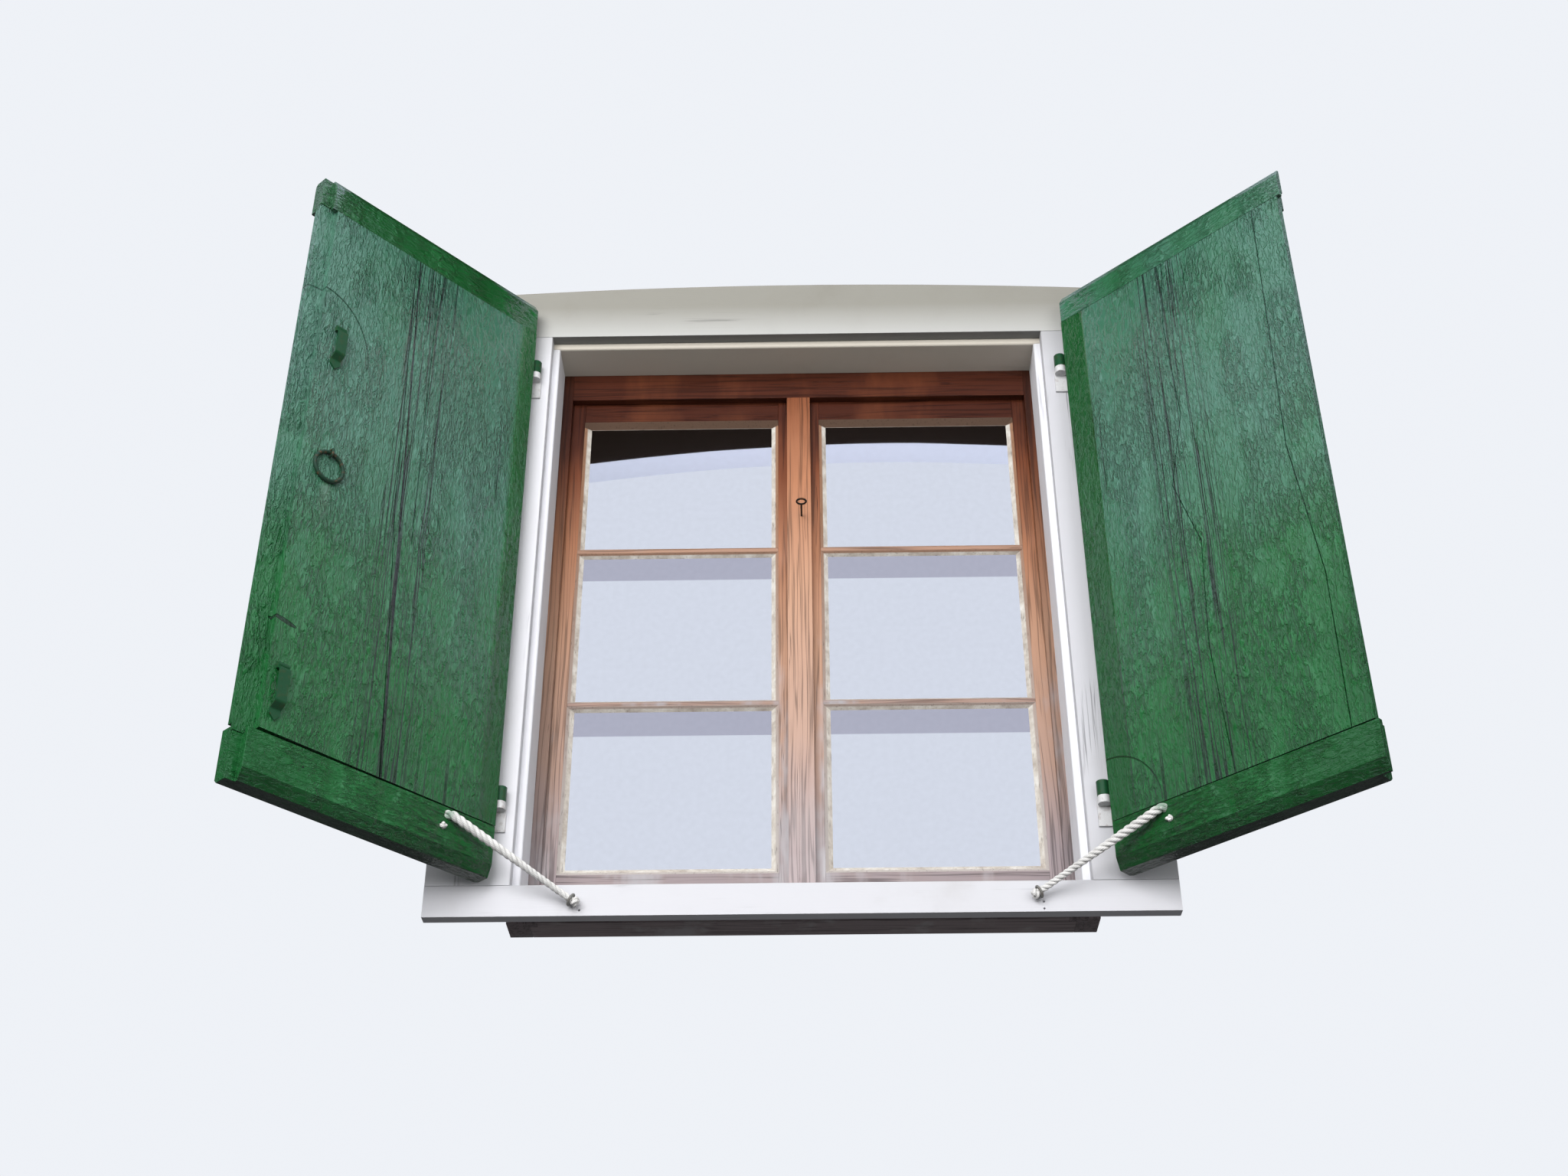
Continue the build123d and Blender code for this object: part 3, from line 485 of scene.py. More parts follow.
def bend_round_knots(shader, across, along, knots):
    """Pushes the grain lines outwards round each knot; gives the bent coordinate and the knots' own rings."""
    knot_length = 2.6
    push = 0.9
    ring_rate = 9.0
    bent = across
    rings = None
    for centre, height, size in knots:
        side = shader.minus(across, centre)
        wide = shader.over(side, size)
        tall = shader.over(shader.minus(along, height), size * knot_length)
        square = shader.square_sum(wide, tall)
        pull = shader.over(push, shader.plus(square, 1.0))
        bent = shader.minus(bent, shader.times(side, pull))
        ring = shader.math("SINE", shader.times(shader.math("SQRT", square), ring_rate))
        ring = shader.times(ring, shader.step(square, zero=2.2, one=0.3))
        rings = ring if rings is None else shader.plus(rings, ring)
    return bent, rings


def paint_skin(shader, place, grain):
    """Wrinkles of the paint: how rough each place is, their height, the creases, whose darkening is painted
    shade, and the raised flakes.
    """
    least_rough = 0.35
    flake_share = 0.5
    rough = shader.step(shader.noise(place, scale=(13, 13, 7)), zero=0.44, one=0.56)
    rough = shader.plus(shader.times(rough, 1 - least_rough), least_rough)
    skin = shader.noise(grain, scale=(150, 150, 52), roughness=0.62, distortion=0.9)
    crease_shade = shader.times(shader.step(skin, zero=0.45, one=0.39), rough)
    flake = shader.plus(shader.times(shader.step(skin, zero=0.42, one=0.56), flake_share), skin)
    return rough, skin, crease_shade, flake


def paint_grooves(shader, leaf, upright, station, place, grain):
    """Grooves along the grain; on the boards also close ones beside the joint."""
    board_share = 0.8
    rail_share = 0.5
    spread = shader.step(shader.noise(place, scale=(13, 13, 1.6), detail=2), zero=0.52, one=0.64)
    streak = shader.noise(grain, scale=(95, 95, 1.4), detail=2, distortion=0.12)
    groove = shader.times(shader.step(streak, zero=0.40, one=0.35), spread)
    if not upright:
        return shader.times(groove, rail_share)
    close = shader.noise(grain, scale=(125, 125, 1.6), detail=1, distortion=0.10)
    near = shader.step(shader.away(station, leaf.line_centre), zero=0.075, one=0.030)
    close_groove = shader.times(shader.ridge(close, centre=0.47, width=0.05), near)
    return shader.larger(shader.times(groove, board_share), close_groove)


def paint_tone(shader, worn, height, patch, skin):
    """How pale the paint looks: worn in patches, and paler on raised skin and higher up, which are painted
    highlight and painted sheen.
    """
    patch_share = 0.75
    sheen_rise_share = 0.56
    sheen_rise_start = 0.30
    highlight_skin_share = 0.22
    tone = shader.plus(shader.times(patch, patch_share), worn - patch_share * noise_middle)
    # Paler higher up: painted sheen of the sky.
    rise = shader.times(shader.step(height, zero=0.0, one=0.85), sheen_rise_share)
    tone = shader.plus(tone, shader.minus(rise, sheen_rise_start))
    # Paler on raised skin: painted highlight.
    return shader.plus(tone, shader.times(shader.minus(skin, noise_middle), highlight_skin_share))


def round_spot(shader, station, height, centre, centre_height):
    edge = 0.6
    across = shader.minus(station, centre)
    along = shader.minus(height, centre_height)
    reach = shader.math("SQRT", shader.square_sum(across, along))
    return shader.step(reach, zero=mark_radius, one=mark_radius * edge)


def slanted_nick(shader, station, height):
    """Short dent near the free edge."""
    across = shader.minus(station, nick_station)
    along = shader.minus(shader.minus(height, nick_height), shader.times(across, nick_slope))
    wide = shader.over(across, nick_half_length)
    tall = shader.over(along, nick_half_width)
    return shader.step(shader.square_sum(wide, tall), zero=1.1, one=0.7)


def scratch_mark(shader, station, height, scratch):
    """Arc that a stay hook has worn into the paint, a quarter of an ellipse above its centre."""
    centre, centre_height, half_width, half_height = scratch
    across = shader.over(shader.minus(station, centre), half_width)
    along = shader.over(shader.minus(height, centre_height), half_height)
    ring = shader.ridge(shader.math("SQRT", shader.square_sum(across, along)), centre=1.0, width=0.016)
    return shader.times(ring, shader.step(along, zero=0.0, one=0.05))


def rust_stain(shader, station, height, colour):
    """Grey run of old rust below the ring pull."""
    strength = 0.25
    beside = shader.ridge(station, centre=rust_station, width=rust_half)
    above = shader.step(height, zero=0.500, one=0.575)
    below = shader.step(height, zero=0.592, one=0.580)
    stain = shader.times(shader.times(beside, shader.times(above, below)), strength)
    return shader.mix(stain, colour, rust_run)


def open_joint_line(shader, station, height):
    """Dark line along the joint of the left leaf's boards, wider at its foot."""
    joint = shader.plus(shader.times(height, joint_slope), joint_foot)
    half = shader.minus(joint_half_low, shader.times(height, joint_narrowing))
    return shader.step(shader.over(shader.away(station, joint), half), zero=1.15, one=0.75)


def mark_board(shader, leaf, station, height, colour, relief):
    """Marks of use on the upright boards."""
    scratch_depth = 0.4
    joint_depth = 0.5
    scratch = scratch_mark(shader, station, height, leaf.scratch)
    relief = shader.minus(relief, shader.times(scratch, scratch_depth))
    colour = shader.darken(colour, scratch, keep=0.5)
    colour = mark_spots(shader, leaf, station, height, colour)
    if leaf is left_leaf:
        colour = rust_stain(shader, station, height, colour)
        line = open_joint_line(shader, station, height)
        colour = shader.darken(colour, line, keep=0.10)
        relief = shader.minus(relief, shader.times(line, joint_depth))
        nick = slanted_nick(shader, station, height)
        colour = shader.darken(colour, nick, keep=0.25)
        relief = shader.minus(relief, nick)
    return colour, relief


def mark_spots(shader, leaf, station, height, colour):
    """Small dark holes."""
    for spot_station, spot_height in leaf.marks:
        spot = round_spot(shader, station, height, spot_station, spot_height)
        colour = shader.darken(colour, spot, keep=0.08)
    return colour


def green_paint(name, leaf, upright, worn, wrinkled):
    """Old thick gloss on softwood: wrinkled skin, grooves along the grain, chalky patches."""
    strip_depth = 0.60
    strip_calm = 0.7
    fine_depth = 0.10
    groove_depth = 0.35
    ring_depth = 0.12
    shader = Shader(name)
    station, depth, height = leaf_place(shader, leaf)
    across, along = (station, height) if upright else (height, station)
    across, rings = bend_round_knots(shader, across, along, leaf.knots if upright else ())
    grain = shader.join(across, depth, along)
    place = shader.join(station, depth, height)

    patch = shader.noise(place, scale=(6, 6, 3.2), detail=5, roughness=0.62)
    rough, skin, crease_shade, flake = paint_skin(shader, place, grain)
    fine = shader.noise(grain, scale=(480, 480, 120), detail=2)
    groove = paint_grooves(shader, leaf, upright, station, place, grain)
    tone = paint_tone(shader, worn, height, patch, skin)
    if upright:
        inner, outer = leaf.sound_strip - leaf.strip_blur, leaf.sound_strip + leaf.strip_blur
        strip = shader.step(station, zero=outer, one=inner)
        tone = shader.minus(tone, shader.times(strip, strip_depth))
        rough = shader.times(rough, shader.minus(1.0, shader.times(strip, strip_calm)))
        groove = shader.times(groove, shader.minus(1.0, strip))
    colour = shader.ramp(tone, (0.15, deep_green), (0.45, mid_green), (0.85, worn_green))
    # Painted shade: the creases of the wrinkled skin are darkened.
    colour = shader.darken(colour, crease_shade, keep=0.66)
    colour = shader.darken(colour, groove, keep=0.16)
    # Painted shade: faces turned downwards are darkened.
    facing = shader.parts(shader.node("NewGeometry").outputs["Normal"])[2]
    colour = shader.darken(colour, shader.step(facing, zero=-0.15, one=-0.55), keep=0.35)

    relief = shader.times(shader.times(flake, rough), wrinkled)
    relief = shader.plus(relief, shader.times(fine, fine_depth))
    relief = shader.minus(relief, shader.times(groove, groove_depth))
    if rings is not None:
        relief = shader.plus(relief, shader.times(rings, ring_depth))
        colour = shader.darken(colour, shader.step(rings, zero=0.45, one=0.95), keep=0.55)
    if upright:
        colour, relief = mark_board(shader, leaf, station, height, colour, relief)
    else:
        colour = mark_spots(shader, leaf, station, height, colour)
    shader.set("Base Color", colour)
    shader.set_varied("Roughness", patch, share=0.24, least=0.14)
    shader.set("Specular IOR Level", 0.6)
    shader.set_varied("Coat Weight", shader.step(height, zero=0.0, one=0.80), share=0.89, least=0.11)
    shader.set("Coat Roughness", 0.12)
    shader.set("Coat IOR", 1.66)
    bumped = shader.bump(relief, distance=0.0056)
    shader.set("Normal", bumped)
    shader.set("Coat Normal", bumped)
    return shader.material


# Other materials

def along_axis(shader, axis):
    """Grain coordinates with the long direction last."""
    x, y, z = shader.parts(shader.place)
    if axis == "z":
        return shader.join(x, y, z)
    return shader.join(z, y, x)


def white_paint(name, axis, checks, tint):
    """Matt white paint on old boards: greyer towards the head as painted shade, with checks along the grain.
    """
    full_height = 1.25
    seam_share = 0.8
    dirt_share = 0.35
    fibre_depth = 0.35
    flake_depth = 0.25
    shader = Shader(name)
    height = shader.parts(shader.place)[2]
    grain = along_axis(shader, axis)
    patch = shader.noise(shader.place, scale=(7, 7, 7), detail=5, roughness=0.6)
    fibre = shader.noise(grain, scale=(330, 330, 9), detail=4, roughness=0.6)
    lines = shader.noise(grain, scale=(75, 75, 1.6), roughness=0.55, distortion=0.15)
    where = shader.step(shader.noise(grain, scale=(14, 14, 3.5)), zero=0.66 - checks, one=0.86 - checks)
    check = shader.times(shader.ridge(lines, centre=0.5, width=0.025), where)
    seam = shader.ridge(height, centre=head_joint, width=seam_half)
    check = shader.larger(check, shader.times(seam, seam_share))
    flake = shader.times(shader.step(fibre, zero=0.60, one=0.68), shader.step(patch, zero=0.52, one=0.66))
    rise = shader.over(height, full_height)
    # Greyer towards the head: painted shade.
    colour = shader.ramp(rise, (0.15, low_white), (0.84, low_white), (0.90, head_half_shade_white), (0.955, head_shade_white))
    colour = shader.tinted(colour, tint)
    dirt = shader.times(shader.step(patch, zero=0.50, one=0.85), dirt_share)
    colour = shader.mix(dirt, colour, shader.tinted(colour, white_dirt))
    colour = shader.mix(shader.times(flake, checks), colour, bare_grey)
    colour = shader.darken(colour, check, keep=0.22)
    shader.set("Base Color", colour)
    shader.set_varied("Roughness", patch, share=0.25, least=0.42)
    relief = shader.minus(shader.times(fibre, fibre_depth), check)
    relief = shader.minus(relief, shader.times(flake, flake_depth))
    shader.set("Normal", shader.bump(relief, distance=0.0008, strength=0.7))
    return shader.material


def varnished_pine(name, axis, keep, grey, dark_height=1.08):
    """Varnished softwood: dark under the head, partly sound varnish and partly painted shade, bleached and
    greyed lower down; keep darkens the whole piece, which is painted shade.
    """
    wander_reach = 0.020
    patch_share = 0.14
    fibre_depth = 0.4
    line_depth = 0.7
    dull = 0.62
    gloss_share = 0.22
    shader = Shader(name)
    z = shader.parts(shader.place)[2]
    grain = along_axis(shader, axis)
    wander = shader.noise(grain, scale=(10, 10, 2.5), detail=2)
    bent = shader.vector("ADD", grain, shader.join(shader.times(wander, wander_reach), 0.0, 0.0))
    rings = shader.noise(bent, scale=(95, 95, 1.8))
    fibre = shader.noise(bent, scale=(420, 420, 10), roughness=0.6)
    patch = shader.noise(shader.place, scale=(12, 12, 4), detail=4, roughness=0.6)
    rise = shader.step(z, zero=0.06, one=dark_height)
    where = shader.plus(rise, shader.times(shader.minus(patch, noise_middle), patch_share))
    colour = shader.ramp(
        where,
        (0.00, (0.40, 0.33, 0.34)),
        (0.14, (0.50, 0.33, 0.26)),
        (0.45, (0.53, 0.30, 0.195)),
        (0.74, (0.43, 0.185, 0.095)),
        (0.93, (0.20, 0.058, 0.022)),
        (1.00, (0.075, 0.019, 0.009)),
    )
    colour = shader.darken(colour, shader.ridge(rings, centre=0.5, width=0.055), keep=0.52)
    colour = shader.darken(colour, shader.step(fibre, zero=0.50, one=0.75), keep=0.80)
    bleach = shader.times(shader.step(patch, zero=0.50, one=0.68), shader.step(z, zero=0.85, one=0.10))
    bleach = shader.math("MULTIPLY", bleach, grey, clamp=True)
    colour = shader.mix(bleach, colour, bleached_pine)
    # keep darkens this copy of the pine: painted shade.
    colour = shader.tinted(colour, (keep, keep, keep))
    line = shader.ridge(rings, centre=0.36, width=0.012)
    line = shader.times(line, shader.step(patch, zero=0.42, one=0.58))
    colour = shader.darken(colour, line, keep=0.30)
    shader.set("Base Color", colour)
    gloss = shader.times(shader.step(z, zero=0.1, one=1.0), gloss_share)
    shader.set("Roughness", shader.minus(dull, gloss))
    shader.set("Specular IOR Level", 0.35)
    relief = shader.minus(shader.times(fibre, fibre_depth), shader.times(line, line_depth))
    shader.set("Normal", shader.bump(relief, distance=0.0006, strength=0.6))
    return shader.material


def glazing_putty():
    """Painted putty bevels: weathered cream near the glass, wood brown beside the sash, and dark brown along
    the top, which is painted shadow.
    """
    wood_start = 0.0045
    wood_full = 0.0065
    blur = 0.001
    shader = Shader("glazing_putty")
    _, y, z = shader.parts(shader.place)
    patch = shader.noise(shader.place, scale=(40, 40, 40), detail=4, roughness=0.65)
    fine = shader.noise(shader.place, scale=(400, 400, 60))
    colour = shader.ramp(
        patch,
        (0.30, (0.34, 0.29, 0.25)),
        (0.52, (0.52, 0.48, 0.43)),
        (0.70, (0.64, 0.62, 0.58)),
    )
    wood = shader.step(y, zero=glass_face - wood_start, one=glass_face - wood_full)
    brown = shader.ramp(z, (0.20, (0.40, 0.36, 0.34)), (0.80, (0.28, 0.15, 0.09)))
    colour = shader.mix(wood, colour, brown)
    # Painted shadow: dark above the top of the panes, under the head.
    top = shader.step(z, zero=glass_top - blur, one=glass_top + blur)
    colour = shader.mix(top, colour, top_shadow_putty)
    colour = shader.darken(colour, shader.step(fine, zero=0.58, one=0.70), keep=0.6)
    shader.set("Base Color", colour)
    shader.set("Roughness", 0.7)
    shader.set("Normal", shader.bump(shader.plus(patch, fine), distance=0.0004, strength=0.6))
    return shader.material


def window_glass():
    """Old float glass, which mirrors the sky more than it shows the room, shaded under the bars."""
    blur = 0.001
    shader = Shader("window_glass")
    ripple = shader.noise(shader.place, scale=(3.0, 3.0, 2.2), detail=1)
    speck = shader.noise(shader.place, scale=(90, 90, 90))
    height = shader.parts(shader.place)[2]
    colour = shader.ramp(speck, (0.3, (0.91, 0.90, 0.87)), (0.7, (0.94, 0.93, 0.90)))
    for top in lower_pane_tops:
        edge = top - bar_shade
        above = shader.step(height, zero=edge - blur, one=edge + blur)
        shade = shader.times(above, shader.math("LESS_THAN", height, top))
        colour = shader.mix(shade, colour, shader.tinted(colour, bar_shade_tint))
    shader.set("Base Color", colour)
    shader.set("Metallic", 0.90)
    shader.set("Transmission Weight", 1.0)
    shader.set("Roughness", 0.02)
    shader.set("IOR", 1.5)
    shader.set("Normal", shader.bump(ripple, distance=0.004, strength=0.25))
    return shader.material


def iron(name, paint, rust, roughness, metallic=0.0):
    """Hand-made iron: paint or dark scale, with rust where it has worn."""
    shade = 0.25
    fine_depth = 0.4
    shader = Shader(name)
    lumps = shader.noise(shader.place, scale=(120, 120, 120), detail=4, roughness=0.6)
    fine = shader.noise(shader.place, scale=(700, 700, 700), detail=2)
    worn = shader.times(shader.step(lumps, zero=0.52, one=0.66), rust)
    colour = shader.mix(shader.times(fine, shade), paint, black)
    rusty = shader.ramp(fine, (0.35, (0.05, 0.022, 0.012)), (0.65, (0.19, 0.075, 0.03)))
    colour = shader.mix(worn, colour, rusty)
    shader.set("Base Color", colour)
    shader.set("Metallic", metallic)
    shader.set_varied("Roughness", lumps, share=0.3, least=roughness)
    relief = shader.plus(lumps, shader.times(fine, fine_depth))
    shader.set("Normal", shader.bump(relief, distance=0.0005, strength=0.7))
    return shader.material


def rope_fibre():
    """Yarns twisted the other way round each strand, darker between the yarns, with grey dirt in patches."""
    yarn_count = 7.0
    yarn_twist = 260.0
    smear_share = 0.75
    relief_share = 0.5
    shader = Shader("rope_fibre")
    around, along, _ = shader.parts(shader.node("TexCoord").outputs["UV"])
    turn = shader.plus(shader.times(around, yarn_count), shader.times(along, yarn_twist))
    yarn = shader.math("SINE", shader.times(turn, 2 * pi))
    hair = shader.noise(shader.join(turn, along, 0.0), scale=(9, 300, 1), roughness=0.7)
    dirt = shader.noise(shader.place, scale=(60, 60, 60), detail=4, roughness=0.65)
    colour = shader.ramp(
        dirt,
        (0.30, (0.56, 0.55, 0.54)),
        (0.50, (0.72, 0.71, 0.70)),
        (0.66, (0.80, 0.79, 0.78)),
    )
    colour = shader.darken(colour, shader.step(yarn, zero=-0.35, one=-1.0), keep=0.68)
    colour = shader.darken(colour, shader.step(hair, zero=0.56, one=0.72), keep=0.80)
    for leaf in leaves:
        (station, height), _ = leaf.rope_holes
        offset = shader.vector("SUBTRACT", shader.place, leaf.point(station, -rope_entry_stand, height))
        far = shader.math("SQRT", shader.vector("DOT_PRODUCT", offset, offset))
        near = shader.step(far, zero=0.017, one=0.004)
        smear = shader.times(near, shader.step(dirt, zero=0.40, one=0.58))
        colour = shader.mix(shader.times(smear, smear_share), colour, rope_green)
    shader.set("Base Color", colour)
    shader.set("Roughness", 0.85)
    shader.set("Sheen Weight", 0.25)
    relief = shader.plus(shader.times(yarn, relief_share), shader.times(hair, relief_share))
    shader.set("Normal", shader.bump(relief, distance=0.0006, strength=0.8))
    return shader.material


# Ropes

def rope_route(leaf):
    """Control points of a rope, from its stopper knot through the eye and both holes to the cut end."""
    (s_high, z_high), (s_low, z_low) = leaf.rope_holes
    spread = ((s_low - s_high) ** 2 + (z_high - z_low) ** 2) ** 0.5
    back = rail_thickness + rope_back_gap + spread / 2 - rope_loop_slack
    eye = Vector(leaf.eye)
    entry = leaf.point(s_high, -rope_entry_stand, z_high)
    along = Vector((eye.x - entry.x, 0, eye.z - entry.z)).normalized()
    run = (entry - eye).normalized()
    points = [
        eye + along * knot_reach,
        eye,
        eye + run * eye_straight,
        entry - run * entry_straight,
        entry,
        leaf.point(s_high, hole_straight, z_high),
        leaf.point(s_high, back_straight, z_high),
        leaf.point(s_high, back, z_high),
        leaf.point(s_low, back, z_low),
        leaf.point(s_low, back_straight, z_low),
        leaf.point(s_low, -rope_end_stand, z_low),
    ]
    return points, along


def smooth_line(name, points):
    """Points along the NURBS spline of a route."""
    data = bpy.data.curves.new(name, "CURVE")
    data.dimensions = "3D"
    data.resolution_u = route_resolution
    spline = data.splines.new("NURBS")
    spline.points.add(len(points) - 1)
    for made, point in zip(spline.points, points):
        made.co = (*point, 1)
    spline.order_u = 3
    spline.use_endpoint_u = True
    holder = bpy.data.objects.new(name, data)
    mesh = bpy.data.meshes.new_from_object(holder)
    line = np.array([v.co for v in mesh.vertices])
    bpy.data.objects.remove(holder)
    bpy.data.meshes.remove(mesh)
    return line


def lengths_along(line):
    return np.concatenate([[0], np.cumsum(np.linalg.norm(np.diff(line, axis=0), axis=1))])


def evenly(line):
    """The same line with points one rope step apart, and how far along each lies."""
    lengths = lengths_along(line)
    count = max(int(lengths[-1] / rope_step), least_steps)
    places = np.linspace(0, lengths[-1], count + 1)
    return np.column_stack([np.interp(places, lengths, line[:, i]) for i in range(3)]), places


def cross_directions(line):
    """Two directions across the line at each point, which turn as little as they can along it."""
    tangents = np.gradient(line, axis=0)
    tangents /= np.linalg.norm(tangents, axis=1, keepdims=True)
    side = np.cross(tangents[0], first_aside)
    sides = []
    for tangent in tangents:
        side = side - tangent * side.dot(tangent)
        side = side / np.linalg.norm(side)
        sides.append(side)
    sides = np.array(sides)
    return sides, np.cross(tangents, sides)


def tube_mesh(name, lines, radii):
    """One mesh of round tubes along several lines, with the way round and the length as its UV."""
    vertices, faces, uvs = [], [], []
    for line, radius in zip(lines, radii):
        first, second = cross_directions(line)
        lengths = lengths_along(line)
        radius = np.broadcast_to(radius, len(line))
        start = len(vertices)
        for i, point in enumerate(line):
            for k in range(tube_sides):
                turn = 2 * pi * k / tube_sides
                vertices.append(point + radius[i] * (cos(turn) * first[i] + sin(turn) * second[i]))
        for i in range(len(line) - 1):
            row = start + i * tube_sides
            following = row + tube_sides
            for k in range(tube_sides):
                after = (k + 1) % tube_sides
                faces.append((row + k, row + after, following + after, following + k))
                left, right = k / tube_sides, (k + 1) / tube_sides
                low, high = lengths[i], lengths[i + 1]
                uvs += [(left, low), (right, low), (right, high), (left, high)]
        last = start + (len(line) - 1) * tube_sides
        faces.append(tuple(start + k for k in reversed(range(tube_sides))))
        faces.append(tuple(last + k for k in range(tube_sides)))
        uvs += [(0.5, 0.0)] * (2 * tube_sides)
    mesh = bpy.data.meshes.new(name)
    mesh.from_pydata([tuple(v) for v in vertices], [], faces)
    layer = mesh.uv_layers.new(name="around_along")
    layer.data.foreach_set("uv", np.array(uvs, np.float32).ravel())
    mesh.polygons.foreach_set("use_smooth", [True] * len(mesh.polygons))
    mesh.update()
    return mesh


def add_tubes(name, lines, radii, material):
    piece = bpy.data.objects.new(name, tube_mesh(name, lines, radii))
    bpy.context.scene.collection.objects.link(piece)
    piece.data.materials.append(material)
    return piece


def add_rope(leaf, material):
    """Three-strand rope with its stopper knot."""
    points, along = rope_route(leaf)
    line, places = evenly(smooth_line(f"{leaf.name}_route", points))
    first, second = cross_directions(line)
    opened = np.clip((places - opening_start) / opening_length, 0, 1)
    opened = opened * opened * (3 - 2 * opened)
    opened = opened * (1 - np.clip((places - leaf_start) / closing_length, 0, 1))
    lay = tight_lay + (open_lay - tight_lay) * opened
    offset = tight_offset + (open_offset - tight_offset) * opened
    thick = tight_strand + (open_strand - tight_strand) * opened
    turn = 2 * pi * np.concatenate([[0], np.cumsum(np.diff(places) / lay[1:])])
    strands = []
    for k in range(strand_count):
        angle = turn + 2 * pi * k / strand_count
        out = np.cos(angle)[:, None] * first + np.sin(angle)[:, None] * second
        strands.append(line + out * offset[:, None])
    rope = add_tubes(f"{leaf.name}_laid_rope", strands, [thick] * strand_count, material)
    knot = add_knot(leaf, points[0], along, material)
    (station, height), _ = leaf.rope_holes
    leaf.point(station, 0, height)
    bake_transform(rope)
    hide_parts(f"{leaf.name}_rope")
    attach(knot, "frame")


def add_knot(leaf, centre, along, material):
    """Overhand stopper knot, a trefoil pulled tight against the eye."""
    side = along.cross(Vector((0, 1, 0))).normalized()
    face = side.cross(along)
    scale = (knot_radius - knot_tube) / 3
    line = []
    for i in range(knot_points):
        t = 2 * pi * i / knot_points
        reach = (2 + cos(3 * t)) * scale
        level = side * reach * cos(2 * t) + face * reach * sin(2 * t)
        line.append(centre + level + along * sin(3 * t) * scale * knot_stretch)
    line.append(line[0])
    return add_tubes(f"{leaf.name}_stopper_knot", [np.array(line)], [knot_tube], material)


# Dressing the CAD pieces

def dress(nodes, material, round_edge=0.0):
    """Gives CAD pieces their material, and softened edges where they are wood."""
    for node in nodes:
        piece = frame["nodes"][node]
        if not piece.material_slots:
            piece.data.materials.append(material)
        for held in piece.material_slots:
            held.material = material
        if round_edge:
            weld = piece.modifiers.new("weld", "WELD")
            weld.merge_threshold = 0.00001
            bevel = piece.modifiers.new("worn_edge", "BEVEL")
            bevel.width = round_edge
            bevel.segments = 2
            bevel.limit_method = "ANGLE"
            bevel.angle_limit = radians(40)
            bevel.harden_normals = True


def named(owner, *pieces):
    return [f"{owner}_{piece}" for piece in pieces]


def dress_leaves():
    for leaf in leaves:
        name = leaf.name
        board = green_paint(f"{name}_boards", leaf, True, leaf.board_worn, wrinkled=0.8)
        low_rail = green_paint(f"{name}_low_rail", leaf, False, leaf.low_worn, wrinkled=0.55)
        top_rail = green_paint(f"{name}_top_rail", leaf, False, leaf.top_worn, wrinkled=0.55)
        dress(named(name, "hinge_board", "free_board"), board, round_edge=0.0012)
        dress(named(name, "bottom_rail"), low_rail, round_edge=0.0016)
        dress(named(name, "top_rail"), top_rail, round_edge=0.0016)


def dress_irons():
    painted = iron("green_iron", (0.008, 0.062, 0.022), rust=0.12, roughness=0.26)
    worn = iron("worn_green_iron", (0.010, 0.036, 0.020), rust=0.55, roughness=0.28)
    galvanised = iron("galvanised_iron", (0.24, 0.24, 0.225), rust=0.30, roughness=0.40, metallic=0.3)
    dark = iron("dark_iron", (0.035, 0.032, 0.030), rust=0.8, roughness=0.35, metallic=0.6)
    whitened = iron("white_iron", (0.62, 0.62, 0.63), rust=0.30, roughness=0.42)
    for leaf in leaves:
        dress(named(leaf.name, "upper_strap", "lower_strap", "strap_screws"), painted)
        dress(named(leaf.name, "pintles"), whitened)
        dress(named(leaf.name, "sill_eye"), galvanised)
    dress(("ring_pull", "ring_staple"), worn)
    dress(("upper_keeper", "lower_keeper"), painted)
    dress(("mullion_eye", "sash_pintles", "turn_button", "turn_button_screw", "pintle_screws"), dark)
    dress(("left_sash_knuckles", "right_sash_knuckles"), dark)


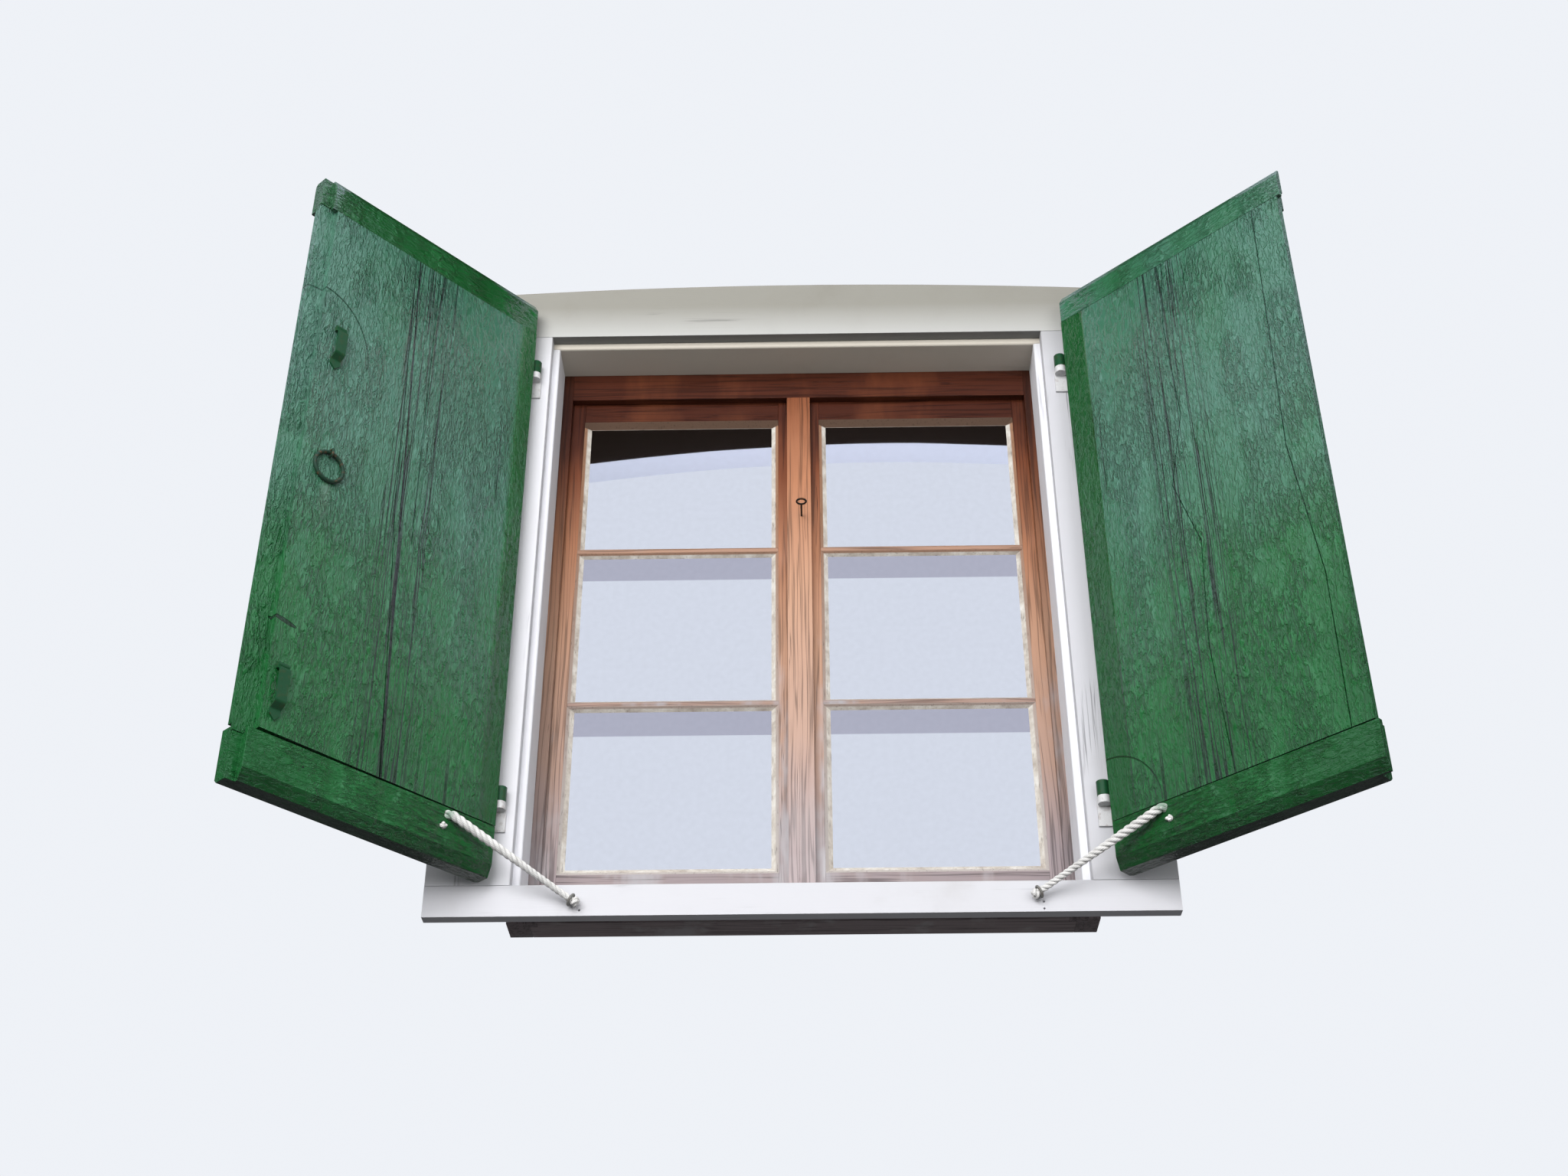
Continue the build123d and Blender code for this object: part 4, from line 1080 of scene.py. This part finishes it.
def dress_frame():
    # Darker copies of the white on the right jamb and the sill make up for the stronger light on them, and on
    # the level boards stand for the shade over the head board: painted shade.
    upright = white_paint("white_upright", "z", checks=0.12, tint=(0.76, 0.76, 0.78))
    painted_shade_upright = white_paint("white_upright_sunny", "z", checks=0.12, tint=(0.64, 0.64, 0.66))
    level = white_paint("white_level", "x", checks=0.06, tint=(0.68, 0.68, 0.66))
    inner = white_paint("white_lining", "z", checks=0.12, tint=(0.97, 0.97, 1.0))
    soffit = white_paint("white_soffit", "x", checks=0.05, tint=(0.80, 0.74, 0.64))
    sill = white_paint("white_sill", "x", checks=0.12, tint=(0.68, 0.68, 0.70))
    dress(("left_jamb_board",), upright, round_edge=0.0012)
    dress(("right_jamb_board",), painted_shade_upright, round_edge=0.0012)
    dress(("sill_board",), sill, round_edge=0.0012)
    dress(("head_board",), level, round_edge=0.0012)
    dress(("left_lining", "right_lining"), inner, round_edge=0.0008)
    dress(("head_lining",), soffit, round_edge=0.0008)
    dress(("lower_lining",), level, round_edge=0.0008)


def dress_window():
    # Each piece's keep darkens its copy of the pine, most on the window frame: painted shade.
    outer_upright = varnished_pine("pine_frame_upright", "z", keep=0.52, grey=1.1)
    outer_level = varnished_pine("pine_frame_level", "x", keep=0.75, grey=0.9)
    middle = varnished_pine("pine_mullion", "z", keep=0.86, grey=0.3, dark_height=1.28)
    sash_upright = varnished_pine("pine_sash_upright", "z", keep=0.78, grey=1.0)
    sash_level = varnished_pine("pine_sash_level", "x", keep=0.66, grey=1.0)
    bar_wood = varnished_pine("pine_bars", "x", keep=0.62, grey=1.6, dark_height=1.7)
    glass = window_glass()
    putty = glazing_putty()
    dress(("window_left_jamb", "window_right_jamb"), outer_upright, round_edge=0.0008)
    dress(("window_head", "window_bottom_rail"), outer_level, round_edge=0.0008)
    dress(("mullion",), middle, round_edge=0.0010)
    for sash in ("left_sash", "right_sash"):
        dress(named(sash, "outer_stile", "inner_stile"), sash_upright, round_edge=0.0008)
        dress(named(sash, "top_rail", "bottom_rail"), sash_level, round_edge=0.0008)
        dress(named(sash, "bars"), bar_wood, round_edge=0.0006)
        dress(named(sash, "panes"), glass)
        dress(named(sash, "putty"), putty)


add_camera()
add_world()
add_floor()
add_eave()
add_lamp("key", place=(-1.6, -4.2, 1.4), size=(4.0, 3.0), power=300)
add_lamp("fill", place=(2.4, -3.6, 0.2), size=(3.0, 3.0), power=80)
add_lamp("back", place=(1.8, 4.6, 1.9), size=(4.0, 3.0), power=130)
rope_material = rope_fibre()
for leaf in leaves:
    add_rope(leaf, rope_material)
dress_leaves()
dress_irons()
dress_frame()
dress_window()
